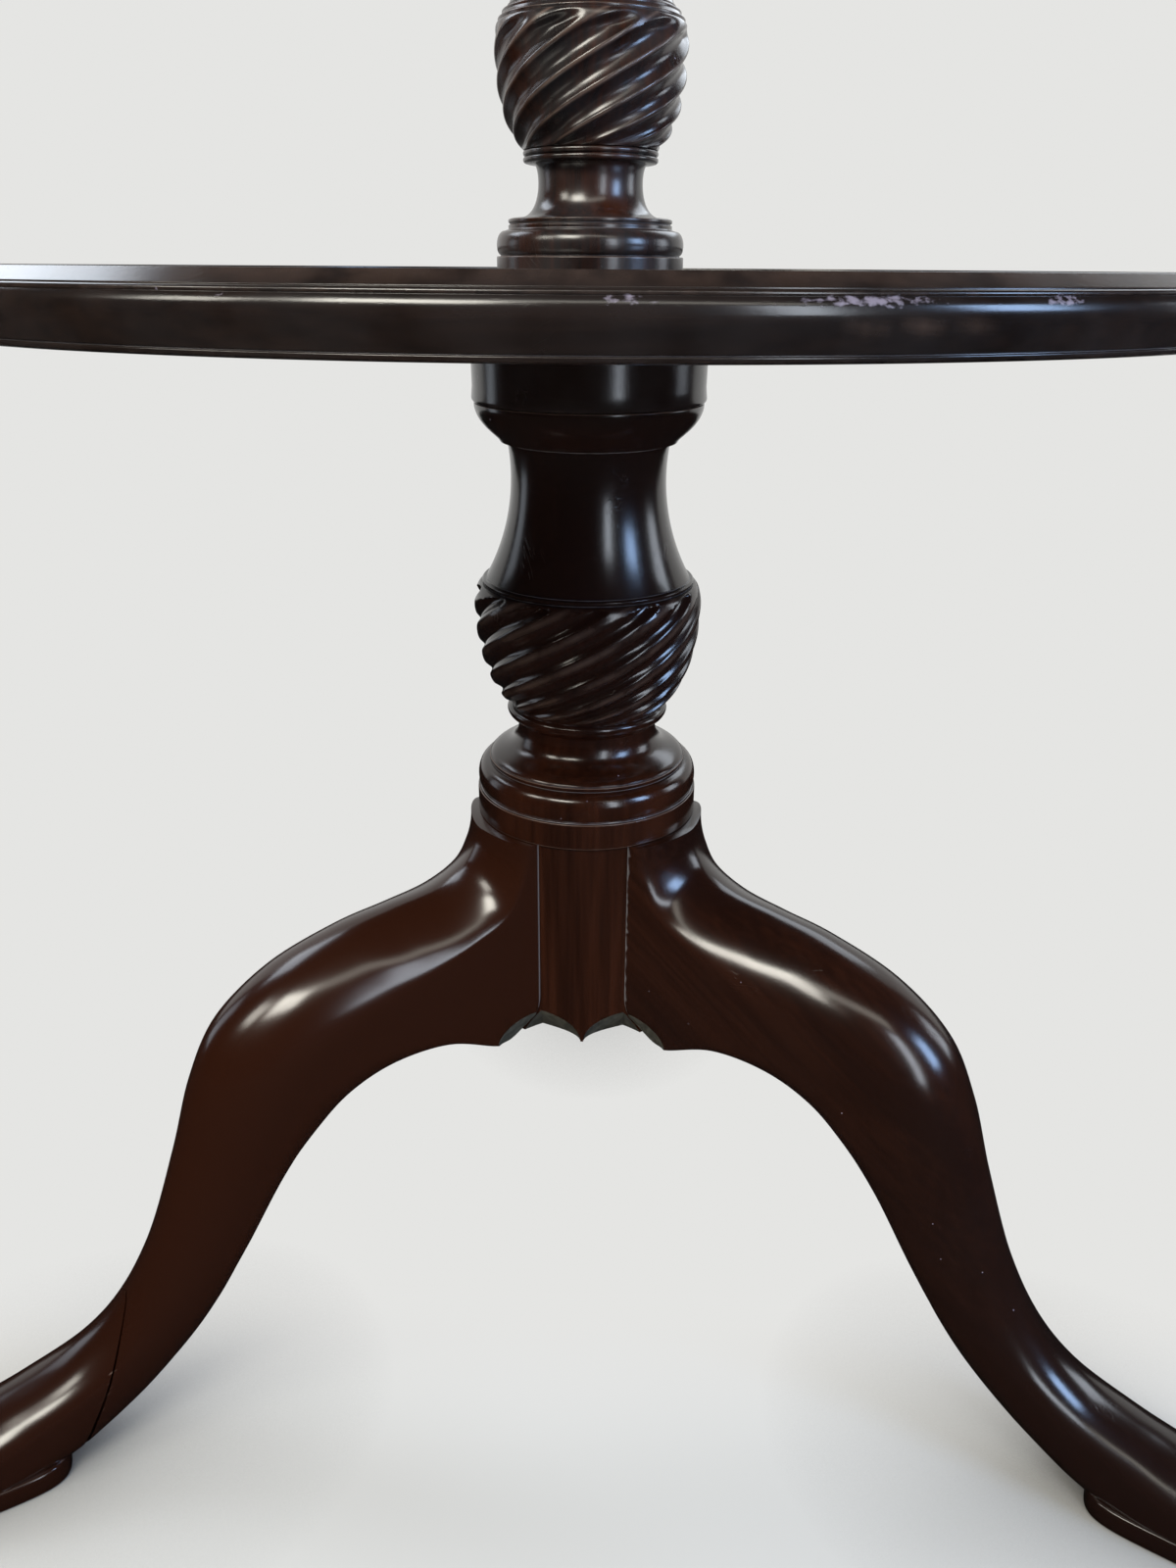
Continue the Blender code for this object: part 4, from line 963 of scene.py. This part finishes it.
def old_polish():
    """Uneven gloss, fine ripple, open pores and hair scratches of an old polished surface."""
    bench, given, made = effect_group(
        "old_polish", {"Roughness": "Float", "Pores": "Float"},
        {"Roughness": "Float", "Height": "Float"})
    wood = bench.wood()
    smear = bench.math("SUBTRACT", bench.noise(wood, (26.0, 40.0, 40.0), 4.0), 0.5)
    ripple = bench.noise(wood, (650.0, 850.0, 850.0), 2.0)
    turned = bench.node("ShaderNodeVectorRotate",
                        {"Vector": wood, "Angle": 0.7, "Axis": (0.3, 1.0, 0.6)}).outputs[0]
    lines = bench.math("SUBTRACT", bench.noise(turned, (45.0, 520.0, 520.0), 1.0), 0.5)
    lines = bench.step(bench.math("ABSOLUTE", lines), 0.012, 0.004)
    patches = bench.step(bench.noise(wood, (34.0, 52.0, 44.0), 2.0), 0.60, 0.76)
    scratch = bench.math("MULTIPLY", lines, patches)
    rough = bench.math("MULTIPLY_ADD", smear, 0.18, given["Roughness"])
    rough = bench.math("MULTIPLY_ADD", scratch, 0.14, rough)
    height = bench.math("MULTIPLY_ADD", given["Pores"], -0.08, bench.math("MULTIPLY", ripple, 0.14))
    height = bench.math("MULTIPLY_ADD", scratch, -0.4, height)
    bench.feed(made, {"Roughness": rough, "Height": height})
    return bench.tree


def wear_and_painted_sheen():
    """Worn edges and reeds, scuffs on the rims with their painted reflection and sheen, dust in
    quirks and seams, bloom and stray specks.
    """
    bench, given, made = effect_group(
        "wear_and_painted_sheen", {"Colour": "Color", "Rubbed": "Color", "Scuffed": "Color", "Dust": "Color",
                        "Edges": "Float", "Quirks": "Float", "Specks": "Float", "Bloom": "Float"},
        {"Colour": "Color", "Bare": "Float"})
    wood = bench.wood()
    edge = bench.mark("edge")
    chips = bench.math("SUBTRACT", bench.noise(wood, (240.0, 300.0, 300.0), 4.0), 0.5)
    bare_edge = bench.step(bench.math("MULTIPLY_ADD", chips, 0.8, edge), 0.36, 0.70)
    bare_edge = bench.math("MULTIPLY", bare_edge, given["Edges"])
    # The rub mark: worn reed crests and rim dents, and the sheen painted on the tops of the rims.
    reed = bench.math("MULTIPLY", bench.mark("rub_and_sheen"),
                      bench.step(bench.noise(wood, (70.0, 70.0, 70.0), 4.0), 0.30, 0.62))
    rubbed = bench.math("MAXIMUM", bare_edge, reed)
    colour = bench.mix(rubbed, given["Colour"], given["Rubbed"])

    hollow = bench.math("MULTIPLY_ADD", chips, 0.7, bench.math("MULTIPLY", edge, -1.0))
    place = bench.place()
    reach = bench.length(bench.scaled(place, (1.0, 1.0, 0.0)))
    seam_to = bench.step(bench.math("MULTIPLY_ADD", chips, -0.0030, reach), *SEAM_TO)
    seam = bench.math("MULTIPLY", bench.step(reach, *SEAM_FROM), seam_to)
    under_collar = bench.step(bench.axis(place, "Z"), COLLAR_Z, COLLAR_Z - 0.001)
    quirk = bench.math("MAXIMUM", bench.step(hollow, 0.20, 0.58),
                       bench.math("MULTIPLY", seam, under_collar))
    colour = bench.mix(bench.math("MULTIPLY", quirk, given["Quirks"]), colour, given["Dust"])

    # The scuff mark: real scuffs, and the window's reflection painted along the rims' rolls.
    scuff_and_sheen = bench.math("MULTIPLY_ADD", bench.noise(wood, (420.0, 800.0, 800.0), 6.0), 1.5,
                       bench.math("SUBTRACT", bench.mark("scuff_and_sheen"), 1.5))
    scuff_and_sheen = bench.step(scuff_and_sheen, 0.06, 0.40)
    colour = bench.mix(bench.math("MULTIPLY", scuff_and_sheen, 0.75), colour, given["Scuffed"])

    cloud = bench.step(bench.noise(wood, (45.0, 60.0, 60.0), 5.0), 0.25, 0.70)
    bloom = bench.math("MULTIPLY", cloud, given["Bloom"])
    colour = bench.mix(bloom, colour, given["Dust"])

    cells = bench.node("ShaderNodeTexVoronoi", {"Vector": wood, "Scale": 130.0, "Randomness": 1.0})
    cell = bench.node("ShaderNodeSeparateColor", {0: cells.outputs["Color"]}).outputs[0]
    speck = bench.math("MULTIPLY", bench.step(cells.outputs["Distance"], 0.050, 0.030),
                       bench.step(cell, 0.80, 0.84))
    colour = bench.mix(bench.math("MULTIPLY", speck, given["Specks"]), colour, given["Scuffed"])

    dull = bench.math("MAXIMUM", scuff_and_sheen, bench.math("MULTIPLY", rubbed, 0.35))
    bench.feed(made, {"Colour": colour, "Bare": bench.math("MAXIMUM", dull, bloom)})
    return bench.tree


def new_material(name):
    """New material, with its bench and its shader."""
    made = bpy.data.materials.new(name)
    made.use_nodes = True
    return made, Bench(made.node_tree), made.node_tree.nodes["Principled BSDF"]


def mahogany(name, ground, figure, roughness, finish, **wear):
    """Polished mahogany of one colour, with its shares of wear."""
    if name in bpy.data.materials:
        return bpy.data.materials[name]
    made, bench, shader = new_material(name)
    wood = bench.effect(mahogany_figure, Ground=ground, Figure=figure, Stain=finish.near_black)
    worn = bench.effect(wear_and_painted_sheen, Colour=wood["Colour"], Rubbed=finish.rubbed,
                        Scuffed=finish.scuffed, Dust=finish.dust, **wear)
    polish = bench.effect(old_polish, Roughness=roughness, Pores=wood["Pores"])
    bump = bench.node("ShaderNodeBump",
                      {"Strength": 0.30, "Distance": 0.0002, "Height": polish["Height"]})
    rough = bench.math("MULTIPLY_ADD", worn["Bare"], 0.22, polish["Roughness"])
    bench.feed(shader, {"Base Color": worn["Colour"], "Roughness": rough,
                        "Normal": bump.outputs[0]})
    return made


def dark_mahogany(finish):
    """Nearly black wood of the trays and bosses."""
    return mahogany("dark_mahogany_polish", finish.dark_brown, finish.dark_figure,
                    finish.roughness, finish, Edges=0.16, Quirks=0.40, Specks=0.6, Bloom=0.05)


def dulled_mahogany(finish):
    """The same wood on the stems, where the polish has bloomed."""
    return mahogany("dulled_mahogany_polish", finish.dark_brown, finish.red_figure,
                    finish.roughness + 0.02, finish,
                    Edges=0.60, Quirks=0.40, Specks=0.9, Bloom=0.15)


def red_mahogany(finish):
    """Red-brown wood of the column and legs."""
    return mahogany("red_mahogany_polish", finish.red_brown, finish.red_figure,
                    finish.roughness, finish, Edges=0.90, Quirks=0.90, Specks=0.9, Bloom=0.0)


def gouged_mahogany(finish):
    """Dull, dusty wood in the hollows under the hub."""
    name = "gouged_mahogany"
    if name in bpy.data.materials:
        return bpy.data.materials[name]
    made, bench, shader = new_material(name)
    strokes = bench.step(bench.noise(bench.place(), (500.0, 500.0, 160.0), 4.0), 0.35, 0.70)
    darker = [0.55 * part for part in finish.gouged]
    bench.feed(shader, {"Base Color": bench.mix(strokes, darker, finish.gouged),
                        "Roughness": bench.math("MULTIPLY_ADD", strokes, 0.2, 0.55)})
    return made


def screw_iron(finish):
    """Old iron of the hidden wood screws."""
    made, bench, shader = new_material("screw_iron_dull")
    spots = bench.step(bench.noise(bench.place(), (700.0, 700.0, 700.0), 4.0), 0.40, 0.65)
    rust = [0.5 * part for part in finish.rubbed]
    bench.feed(shader, {"Base Color": bench.mix(spots, finish.iron, rust), "Metallic": 0.9,
                        "Roughness": bench.math("MULTIPLY_ADD", spots, 0.35, 0.40)})
    return made


# Stage

def hang_lamp(name, turn, height, size, power, colour):
    """Area lamp that points at the stand and stays out of the camera's sight."""
    data = bpy.data.lights.new(name, "AREA")
    data.shape = "RECTANGLE"
    data.size, data.size_y = size
    data.energy = power
    data.color = colour
    lamp = new_object(name, data)
    turn, height = math.radians(turn), math.radians(height)
    flat = math.cos(height)
    away = Vector((math.sin(turn) * flat, -math.cos(turn) * flat, math.sin(height)))
    lamp.location = LAMP_AIM + LAMP_DISTANCE * away
    lamp.rotation_euler = (-away).to_track_quat("-Z", "Y").to_euler()
    lamp.visible_camera = False


def hang_cloths():
    """Dark cloths under, before, beside and over the stand, which only the polish mirrors."""
    corners = ((-CLOTH_HALF, CLOTH_BACK), (-CLOTH_HALF, -CLOTH_HALF),
               (CLOTH_HALF, -CLOTH_HALF), (CLOTH_HALF, CLOTH_BACK))
    points = [(x, y, z) for z in (CLOTH_LOW, CLOTH_HIGH) for x, y in corners]
    mesh = bpy.data.meshes.new("dark_cloths")
    mesh.from_pydata(points, [], CLOTH_FACES)
    cloths = new_object("dark_cloths", mesh)
    cloth, bench, shader = new_material("dark_cloth")
    weave = bench.noise(bench.place(), (40.0, 40.0, 40.0), 2.0)
    bench.feed(shader, {"Base Color": bench.mix(weave, *CLOTH_COLOURS), "Roughness": 1.0,
                        "Specular IOR Level": 0.0})
    mesh.materials.append(cloth)
    cloths.visible_camera = False
    cloths.visible_diffuse = False
    cloths.visible_shadow = False


def seen_rays(bench):
    """1 for the rays that see or mirror the backdrop, and 0 for those that light by it."""
    path = bench.node("ShaderNodeLightPath").outputs
    seen = bench.math("MAXIMUM", path["Is Camera Ray"], path["Is Glossy Ray"])
    return bench.math("MAXIMUM", seen, path["Is Transmission Ray"])


def lay_floor(settings):
    """Wide pale floor that runs out into the backdrop, with a contact shadow painted into its
    colour.
    """
    bm = bmesh.new()
    bmesh.ops.create_circle(bm, cap_ends=True, segments=FLOOR_SEGMENTS, radius=FLOOR_RADIUS)
    mesh = bpy.data.meshes.new("floor")
    bm.to_mesh(mesh)
    bm.free()
    floor = new_object("floor", mesh)
    paint, bench, shader = new_material("pale_floor")
    place = bench.place()
    cloudy = [0.985 * part for part in settings.floor]
    clear = bench.mix(bench.noise(place, (1.5, 1.5, 1.5), 2.0), settings.floor, cloudy)
    far = bench.math("MAXIMUM", bench.step(bench.axis(place, "Y"), *BACKDROP_FROM),
                     bench.step(bench.length(place), *LIT_FLOOR))
    # Painted shadow: ambient occlusion darkens the floor's colour round the feet, also where the
    # floor shows the backdrop.
    painted_contact_shadow = bench.node("ShaderNodeAmbientOcclusion", {
        "Color": bench.mix(far, clear, settings.backdrop), "Distance": CONTACT_SHADOW}, samples=4)
    colour = painted_contact_shadow.outputs["Color"]
    bench.feed(shader, {"Base Color": colour, "Roughness": 0.9, "Specular IOR Level": 0.0})
    glow = bench.node("ShaderNodeEmission", {"Color": colour})
    blend = bench.node("ShaderNodeMixShader", {
        0: bench.math("MULTIPLY", far, seen_rays(bench)), 1: shader.outputs[0], 2: glow.outputs[0]})
    bench.feed(paint.node_tree.nodes["Material Output"], {"Surface": blend.outputs[0]})
    mesh.materials.append(paint)


def light_room(scene, settings):
    """Even light from all round, behind a pale backdrop."""
    scene.world = bpy.data.worlds.new("studio")
    scene.world.use_nodes = True
    bench = Bench(scene.world.node_tree)
    even = [part * settings.room for part in (1.0, 0.985, 0.955)]
    bench.feed(scene.world.node_tree.nodes["Background"],
               {"Color": bench.mix(seen_rays(bench), even, settings.backdrop)})


# Operators

class DUMBWAITER_OT_column(Operator):
    """Turn the column, carve its urn and gouge its hub"""

    bl_idname = "dumbwaiter.column"
    bl_label = "Column"

    def execute(self, context):
        settings = context.scene.dumbwaiter_turning
        finish = context.scene.dumbwaiter_finish
        outlines = column_outlines()
        carving = Carving(settings.column_flutes, settings.flute_depth, COLUMN_CREST,
                          settings.column_reed, settings.spiral_angle, COLUMN_WALL)
        mesh = carved_turning("column_turned", outlines, carving, settings)
        mesh.materials.append(red_mahogany(finish))
        column = new_object("column_turned", mesh)
        for turn in LEG_TURNS.values():
            socket = dovetail(GAP)
            socket.rotation_euler.z = math.radians(turn)
            cut(column, "DIFFERENCE", socket)
            cut(column, "DIFFERENCE", arch_cutter(turn + HALF_TURN, gouged_mahogany(finish)))
        settle(column)
        store_wood(column.data, UP, RIGHT)
        rub_reeds(column.data, outlines[1], carving, COLUMN_RUB)
        store_stain(column.data, STAIN)
        dress(column, ["base_column"], "stand")
        return {"FINISHED"}


class DUMBWAITER_OT_stems(Operator):
    """Turn the two stems and carve their urns"""

    bl_idname = "dumbwaiter.stems"
    bl_label = "Stems"

    def execute(self, context):
        settings = context.scene.dumbwaiter_turning
        board = context.scene.dumbwaiter_tray.board
        middle_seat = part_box("middle_stem")[1].z
        socket, socket_z = BORES["middle"], middle_seat - SOCKET_DEPTH
        middle_top = [(0.0, socket_z), (socket, socket_z), (socket, middle_seat)]
        upper_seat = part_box("top_boss")[0].z - GAP
        spigot_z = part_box("upper_stem")[1].z
        upper_top = [(0.0, spigot_z), (SPIGOT, spigot_z), (SPIGOT, upper_seat)]
        rows = (("middle", 1.0, "lower", "middle", middle_seat, middle_top, settings.middle_flutes),
                ("upper", settings.upper_ratio, "middle", "top", upper_seat, upper_top,
                 settings.upper_flutes))
        for name, k, tier_below, tier_above, seat, top, flutes in rows:
            foot_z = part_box(f"{tier_below}_tray")[0].z + board - SEAT_DEPTH + GAP
            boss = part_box(f"{tier_above}_boss")[1].x
            pin = (PINS[name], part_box(f"{name}_stem")[0].z)
            outlines = stem_outlines(k, foot_z, pin, seat, boss, top)
            carving = Carving(flutes, k * settings.flute_depth, STEM_CREST, settings.stem_reed,
                              settings.spiral_angle, STEM_WALL)
            mesh = carved_turning(f"{name}_stem_turned", outlines, carving, settings)
            mesh.materials.append(dulled_mahogany(context.scene.dumbwaiter_finish))
            stem = new_object(f"{name}_stem_turned", mesh)
            store_wood(mesh, UP, RIGHT)
            rub_reeds(mesh, outlines[1], carving, STEM_RUB)
            dress(stem, [f"{name}_stem"], "stand")
        return {"FINISHED"}


class DUMBWAITER_OT_trays(Operator):
    """Turn the dished trays with their moulded rims"""

    bl_idname = "dumbwaiter.trays"
    bl_label = "Trays"

    def execute(self, context):
        settings = context.scene.dumbwaiter_tray
        turning = context.scene.dumbwaiter_turning
        for tier in TIERS:
            low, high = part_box(f"{tier}_tray")
            top, bottom = high.z, low.z
            rim = rim_outline(settings, high.x, top, bottom)
            floor_z = bottom + settings.board
            bored = tier != "top"
            outline = [(0.0, floor_z), *rim, (0.0, bottom)]
            if bored:
                ratio = 1.0 if tier == "lower" else turning.upper_ratio
                seat, seat_z = PLINTH * ratio + SEAT_PLAY, floor_z - SEAT_DEPTH
                bore = BORES[tier]
                outline = [(bore, seat_z), (seat, seat_z), (seat, floor_z), *rim, (bore, bottom)]
            mesh = revolve(f"{tier}_tray_moulded", eased(outline, turning.easing),
                           settings.segments, closed=bored)
            mesh.materials.append(dark_mahogany(context.scene.dumbwaiter_finish))
            tray = new_object(f"{tier}_tray_moulded", mesh)
            store_wood(mesh, RIGHT, BACK)
            wear_rim(mesh, top)
            dress(tray, [f"{tier}_tray"], f"{tier}_tier")
        return {"FINISHED"}


class DUMBWAITER_OT_bosses(Operator):
    """Turn the bosses under the trays"""

    bl_idname = "dumbwaiter.bosses"
    bl_label = "Bosses"

    def execute(self, context):
        settings = context.scene.dumbwaiter_turning
        for tier in TIERS:
            low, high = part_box(f"{tier}_boss")
            radius, top, bottom = high.x, high.z, low.z
            bore = BORES[tier]
            outline = [(bore, top), (radius, top), (radius, top - 0.0015),
                       (radius - 0.0004, bottom + 0.0060), (radius, bottom + 0.0016),
                       (radius - 0.0002, bottom + 0.0008), (radius - 0.0009, bottom),
                       (bore, bottom)]
            mesh = revolve(f"{tier}_boss_turned", eased(outline, settings.easing),
                           settings.segments, closed=True)
            mesh.materials.append(dark_mahogany(context.scene.dumbwaiter_finish))
            boss = new_object(f"{tier}_boss_turned", mesh)
            store_wood(mesh, UP, RIGHT)
            store(mesh, "stain_and_shade", np.full(len(mesh.vertices), BOSS_STAIN))
            dress(boss, [f"{tier}_boss"], f"{tier}_tier")
        return {"FINISHED"}


class DUMBWAITER_OT_legs(Operator):
    """Carve the legs and splice the front left foot"""

    bl_idname = "dumbwaiter.legs"
    bl_label = "Legs"

    def execute(self, context):
        settings = context.scene.dumbwaiter_leg
        mesh = leg_mesh(settings, context.scene.dumbwaiter_finish)
        pieces = {name: new_object(f"{name}_carved", mesh.copy()) for name in LEG_TURNS}
        foot = new_object("leg_front_left_foot_spliced", mesh.copy())
        pieces["leg_front_left_foot"] = foot
        for name, piece in pieces.items():
            turn = LEG_TURNS[name.removesuffix("_foot")]
            store_wood(piece.data, LEG_GRAIN, RIGHT, turn)
            piece.data.transform(Matrix.Rotation(math.radians(turn), 4, "Z"))
        cut(pieces["leg_front_left"], "DIFFERENCE", scarf_block("scarf_on_leg", 0.0, 0.0))
        cut(foot, "INTERSECT", scarf_block("scarf_on_foot", GAP, settings.crack))
        for name, piece in pieces.items():
            if piece.modifiers:
                settle(piece)
            # Painted shade: the legs darken towards their feet, and the ones away from the lit left
            # darken the most.
            store_stain(piece.data, LIT_LEG if "left" in name else SHADED_LEG)
            dress(piece, [name], "stand")
        return {"FINISHED"}


class DUMBWAITER_OT_screws(Operator):
    """Give the hidden screws their iron"""

    bl_idname = "dumbwaiter.screws"
    bl_label = "Screws"

    def execute(self, context):
        iron = screw_iron(context.scene.dumbwaiter_finish)
        for name, node in frame["nodes"].items():
            if "_screw_" in name:
                node.data.materials.clear()
                node.data.materials.append(iron)
        return {"FINISHED"}


class DUMBWAITER_OT_studio(Operator):
    """Lay the pale floor, hang the lamps and set up the camera"""

    bl_idname = "dumbwaiter.studio"
    bl_label = "Studio"

    def execute(self, context):
        settings = context.scene.dumbwaiter_studio
        lay_floor(settings)
        light_room(context.scene, settings)
        hang_cloths()
        for lamp in LAMPS:
            hang_lamp(*lamp)
        data = bpy.data.cameras.new("camera")
        data.lens = settings.lens
        data.clip_start = 0.01
        camera = new_object("camera", data)
        camera.matrix_world = (
            Matrix.Rotation(settings.azimuth, 4, "Z")
            @ Matrix.Translation((0.0, -settings.distance, settings.height))
            @ Matrix.Rotation(settings.yaw, 4, "Z")
            @ Matrix.Rotation(0.5 * math.pi - settings.pitch, 4, "X")
            @ Matrix.Rotation(settings.roll, 4, "Z"))
        context.scene.camera = camera
        context.scene.view_settings.view_transform = "Standard"
        return {"FINISHED"}


class DUMBWAITER_PT_panel(Panel):
    """Pieces of the stand and their settings"""

    bl_idname = "DUMBWAITER_PT_panel"
    bl_label = "Dumbwaiter Stand"
    bl_space_type = "VIEW_3D"
    bl_region_type = "UI"
    bl_category = "Dumbwaiter"

    def draw(self, context):
        for operator in OPERATORS:
            self.layout.operator(operator.bl_idname)
        for name, group in SETTINGS.items():
            box = self.layout.box()
            box.label(text=group.__doc__)
            values = getattr(context.scene, name)
            for key in group.__annotations__:
                box.prop(values, key)


OPERATORS = (DUMBWAITER_OT_column, DUMBWAITER_OT_legs, DUMBWAITER_OT_stems, DUMBWAITER_OT_trays,
             DUMBWAITER_OT_bosses, DUMBWAITER_OT_screws, DUMBWAITER_OT_studio)
SETTINGS = {"dumbwaiter_turning": TurningSettings, "dumbwaiter_tray": TraySettings,
            "dumbwaiter_leg": LegSettings, "dumbwaiter_finish": FinishSettings,
            "dumbwaiter_studio": StudioSettings}


def register():
    for group in (*SETTINGS.values(), *OPERATORS, DUMBWAITER_PT_panel):
        bpy.utils.register_class(group)
    for name, group in SETTINGS.items():
        setattr(bpy.types.Scene, name, PointerProperty(type=group))


def unregister():
    for name in SETTINGS:
        delattr(bpy.types.Scene, name)
    for group in reversed((*SETTINGS.values(), *OPERATORS, DUMBWAITER_PT_panel)):
        bpy.utils.unregister_class(group)


def main():
    register()
    bpy.ops.dumbwaiter.column()
    bpy.ops.dumbwaiter.legs()
    bpy.ops.dumbwaiter.stems()
    bpy.ops.dumbwaiter.trays()
    bpy.ops.dumbwaiter.bosses()
    bpy.ops.dumbwaiter.screws()
    bpy.ops.dumbwaiter.studio()


if __name__ == "__main__":
    main()
